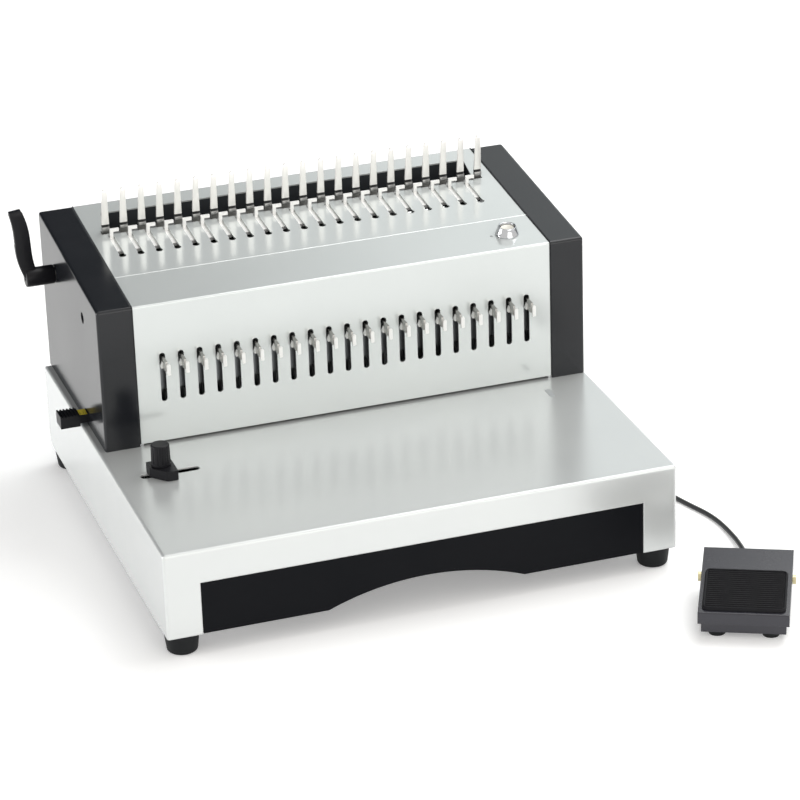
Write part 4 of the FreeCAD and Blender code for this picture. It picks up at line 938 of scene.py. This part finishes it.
def build_pedal_pad():
    """A mat with a raised rim, and ribs across the field inside it."""
    front = PAD_FRONT - PEDAL_L / 2
    half = PAD_W / 2
    spot = lambda x, y, h: on_pedal(x, y, pedal_top(y) + h)
    shape = bmesh.new()
    slab(shape, pad_outline(front, 0.0, 4.0), spot, 0.02, 1.7, 0.5)
    outer = pad_outline(front, RIM_IN, 3.4)
    crest = pad_outline(front, 2 * RIM_IN, 2.8)
    inner = pad_outline(front, RIM_IN + RIM_W, 1.6)
    rim = ((outer, PAD_FLOOR), (outer, PAD_T - 0.2), (crest, PAD_T), (inner, PAD_T - 0.3),
           (inner, PAD_FLOOR))
    skin_loops(shape, [[spot(x, y, h) for x, y in outline] for outline, h in rim],
               closed_ends=False)
    rib_pitch = (PAD_L - 2 * RIB_MARGIN) / (RIB_COUNT - 1)
    for index in range(RIB_COUNT):
        y = front + RIB_MARGIN + index * rib_pitch
        skin_loops(shape, [[spot(x, y + across, h) for across, h in RIB_PROFILE]
                           for x in (-half + RIB_END, half - RIB_END)])
    new_piece("pedal_mat", shape, PAD_RUBBER, "treadle", "black_rubber", "pedal_pad")


# ---- plug on the base, near its right edge ----

def build_base_plug():
    spot = lambda x, y, h: in_place(x, y, BASE_TOP + h)
    shape = bmesh.new()
    slab(shape, rounded_rect(*PLUG_X, *PLUG_Y, 1.6, 4), spot, -SUNK, 0.25, 0.15)
    new_piece("base_slot_plug", shape, PLUG_GREY, "machine", "grey_paint")


build_comb_fingers()
build_cover_fold()
build_cap_lips_and_gap_shade()
build_tabs()
build_start_button()
build_lever()
build_slider_scale()
build_pedal_pad()
build_base_plug()


# ---- pedal cord ----

def coil_points():
    """Three turns inwards on the floor, then three outwards on top of them."""
    points = []
    steps = TURN_STEPS * len(COIL_RINGS)
    for layer, height in enumerate((LOW_LAYER, HIGH_LAYER)):
        for step in range(steps + 1):
            way = step / steps if layer == 0 else 1 - step / steps
            radius = COIL_RINGS[0] + (COIL_RINGS[-1] - COIL_RINGS[0]) * way
            angle = -math.pi / 2 + 2 * math.pi * step / TURN_STEPS
            points.append((COIL_CENTRE[0] + radius * math.cos(angle),
                           COIL_CENTRE[1] + radius * math.sin(angle), height))
    return points


def build_coil_tie():
    """A flat tie wrapped once round the coil's six turns."""
    along = Vector((-math.sin(TIE_ANGLE), math.cos(TIE_ANGLE), 0.0)) * (TIE_HALF_W * MM)
    out = Vector((math.cos(TIE_ANGLE), math.sin(TIE_ANGLE), 0.0))
    middle = Vector((*COIL_CENTRE, 0.0)) + out * COIL_RINGS[1]
    rings = []
    for grow in (TIE_T, 0.0):
        ring = rounded_rect(-TIE_HALF - grow, TIE_HALF + grow, 0.15 - grow / 4, TIE_TOP + grow,
                            TIE_CORNER + grow, 5)
        rings.append([middle + out * (x * MM) + Vector((0, 0, z * MM)) for x, z in ring])
    outer, inner = rings
    shape = bmesh.new()
    skin_loops(shape, [[p - along for p in outer], [p + along for p in outer],
                       [p + along for p in inner], [p - along for p in inner],
                       [p - along for p in outer]], closed_ends=False)
    bmesh.ops.remove_doubles(shape, verts=shape.verts, dist=1e-7)
    return new_piece("coil_tie", shape, CORD_PVC, "machine", "cord_jacket")


def build_relief(name, start, toward, radius, length):
    """A ribbed sleeve round the cord, thinning towards its end."""
    turn = (Vector(toward) - Vector(start)).to_track_quat("Z", "Y")
    spot = lambda x, y, h: Vector(start) + turn @ (Vector((x, y, h)) * MM)
    profile = [(SLEEVE_BORE, -1.0), (radius, -1.0)]
    step = length / SLEEVE_RIBS
    for index in range(SLEEVE_RIBS):
        z = index * step
        r = radius + (2.2 - radius) * index / (SLEEVE_RIBS - 1)
        groove = r - SLEEVE_GROOVE
        profile += [(r, z), (r, z + step * 0.55), (groove, z + step * 0.65),
                    (groove, z + step * 0.95)]
    profile += [(1.95, length), (SLEEVE_BORE, length)]
    shape = bmesh.new()
    lathe(shape, profile, spot, 28)
    return new_piece(name, shape, CONTROL_PLASTIC, "machine", "black_plastic")


def build_pedal_cord():
    """The cord as one smooth line, with its tie and both sleeves."""
    points = CORD_LEAD + coil_points() + CORD_RUN
    curve = bpy.data.curves.new("pedal_lead", "CURVE")
    curve.dimensions = "3D"
    curve.bevel_depth = CORD_R
    curve.bevel_resolution = 5
    curve.resolution_u = 6
    curve.use_fill_caps = True
    line = curve.splines.new("NURBS")
    line.points.add(len(points) - 1)
    for point, place_at in zip(line.points, points):
        point.co = (*place_at, 1.0)
    line.order_u = 3
    line.use_endpoint_u = True
    cord = bpy.data.objects.new("pedal_lead", curve)
    scene.collection.objects.link(cord)
    curve.materials.append(CORD_PVC)
    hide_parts("pedal_cord", "pedal_cord_coil")
    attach(cord, "machine")
    fittings = [build_coil_tie(),
                build_relief("machine_relief", CORD_LEAD[0], CORD_LEAD[1], 3.1, 14.0),
                build_relief("pedal_relief", CORD_RUN[-1], CORD_RUN[-2], 2.6, 9.0)]


build_pedal_cord()


# ---- floor, light and camera ----

FLOOR_HALF = 6.0
FLOOR_GLOW = 0.25
CAMERA_PLACE = (-0.69398, -2.28166, 1.17526)
CAMERA_TURN = (66.0386, 1.6955, -18.7971)
CAMERA_LENS = 156.63
CAMERA_SHIFT = (-0.01178, -0.03703)


def build_floor():
    """A wide pale floor that glows a little, so that it stays white round the machine."""
    mesh = bpy.data.meshes.new("studio_floor")
    shape = bmesh.new()
    bmesh.ops.create_grid(shape, x_segments=1, y_segments=1, size=FLOOR_HALF)
    shape.to_mesh(mesh)
    shape.free()
    floor = bpy.data.objects.new("studio_floor", mesh)
    scene.collection.objects.link(floor)
    material = bpy.data.materials.new("pale_floor")
    material.use_nodes = True
    tree = material.node_tree
    shader = tree.nodes["Principled BSDF"]
    texture = place(tree, GRAIN, Scale=300.0, Drift_Scale=2.0)
    tone = blend_colors(tree, texture.outputs["Drift"], (0.90, 0.90, 0.90), (0.93, 0.93, 0.93))
    link(tree, tone, shader.inputs["Base Color"])
    shader.inputs["Roughness"].default_value = 0.6
    shader.inputs["Emission Color"].default_value = (1.0, 1.0, 1.0, 1.0)
    shader.inputs["Emission Strength"].default_value = FLOOR_GLOW
    mesh.materials.append(material)


def area_light(name, place_at, aim, size, power, color=(1.0, 1.0, 1.0)):
    """A rectangular soft light that points at aim."""
    data = bpy.data.lights.new(name, "AREA")
    data.color = color
    data.shape = "RECTANGLE"
    data.size, data.size_y = size
    data.energy = power
    lamp = bpy.data.objects.new(name, data)
    lamp.location = place_at
    lamp.rotation_euler = (Vector(aim) - Vector(place_at)).to_track_quat("-Z", "Y").to_euler()
    scene.collection.objects.link(lamp)


def build_studio():
    """A white room with a dark back wall on the left, and three soft lights."""
    world = bpy.data.worlds.new("studio_white")
    world.use_nodes = True
    tree = world.node_tree
    background = tree.nodes["Background"]
    direction = add(tree, "ShaderNodeTexCoord").outputs["Generated"]
    axes = add(tree, "ShaderNodeSeparateXYZ")
    link(tree, direction, axes.inputs["Vector"])
    to_right = spread(tree, axes.outputs["X"], 0.0, 1.0, 0.20, 0.34)
    back_wall = blend_colors(tree, to_right, (0.03, 0.035, 0.045), (0.93, 0.98, 0.98))
    to_front = spread(tree, axes.outputs["Y"], 1.0, 0.0, -0.2, 0.4)
    room = blend_colors(tree, to_front, back_wall, (0.98, 0.96, 0.93))
    link(tree, room, background.inputs["Color"])
    background.inputs["Strength"].default_value = 1.0
    scene.world = world
    area_light("overhead_softbox", (0.8, 0.3, 1.7), (0.0, 0.0, 0.1), (1.4, 1.2), 17.0)
    area_light("left_softbox", (-1.9, 0.55, 0.24), (0.0, 0.05, 0.1), (1.2, 0.42), 17.0)
    area_light("front_softbox", (0.6, -2.7, 0.7), (0.0, 0.0, 0.15), (2.2, 0.9), 14.0,
               (1.0, 0.985, 0.955))
    scene.view_settings.view_transform = "Standard"


def build_camera():
    data = bpy.data.cameras.new("product_camera")
    data.sensor_width = 36.0
    data.lens = CAMERA_LENS
    data.shift_x, data.shift_y = CAMERA_SHIFT
    data.clip_end = 50.0
    camera = bpy.data.objects.new("product_camera", data)
    camera.location = CAMERA_PLACE
    camera.rotation_euler = [math.radians(angle) for angle in CAMERA_TURN]
    scene.collection.objects.link(camera)
    scene.camera = camera


build_floor()
build_studio()
build_camera()
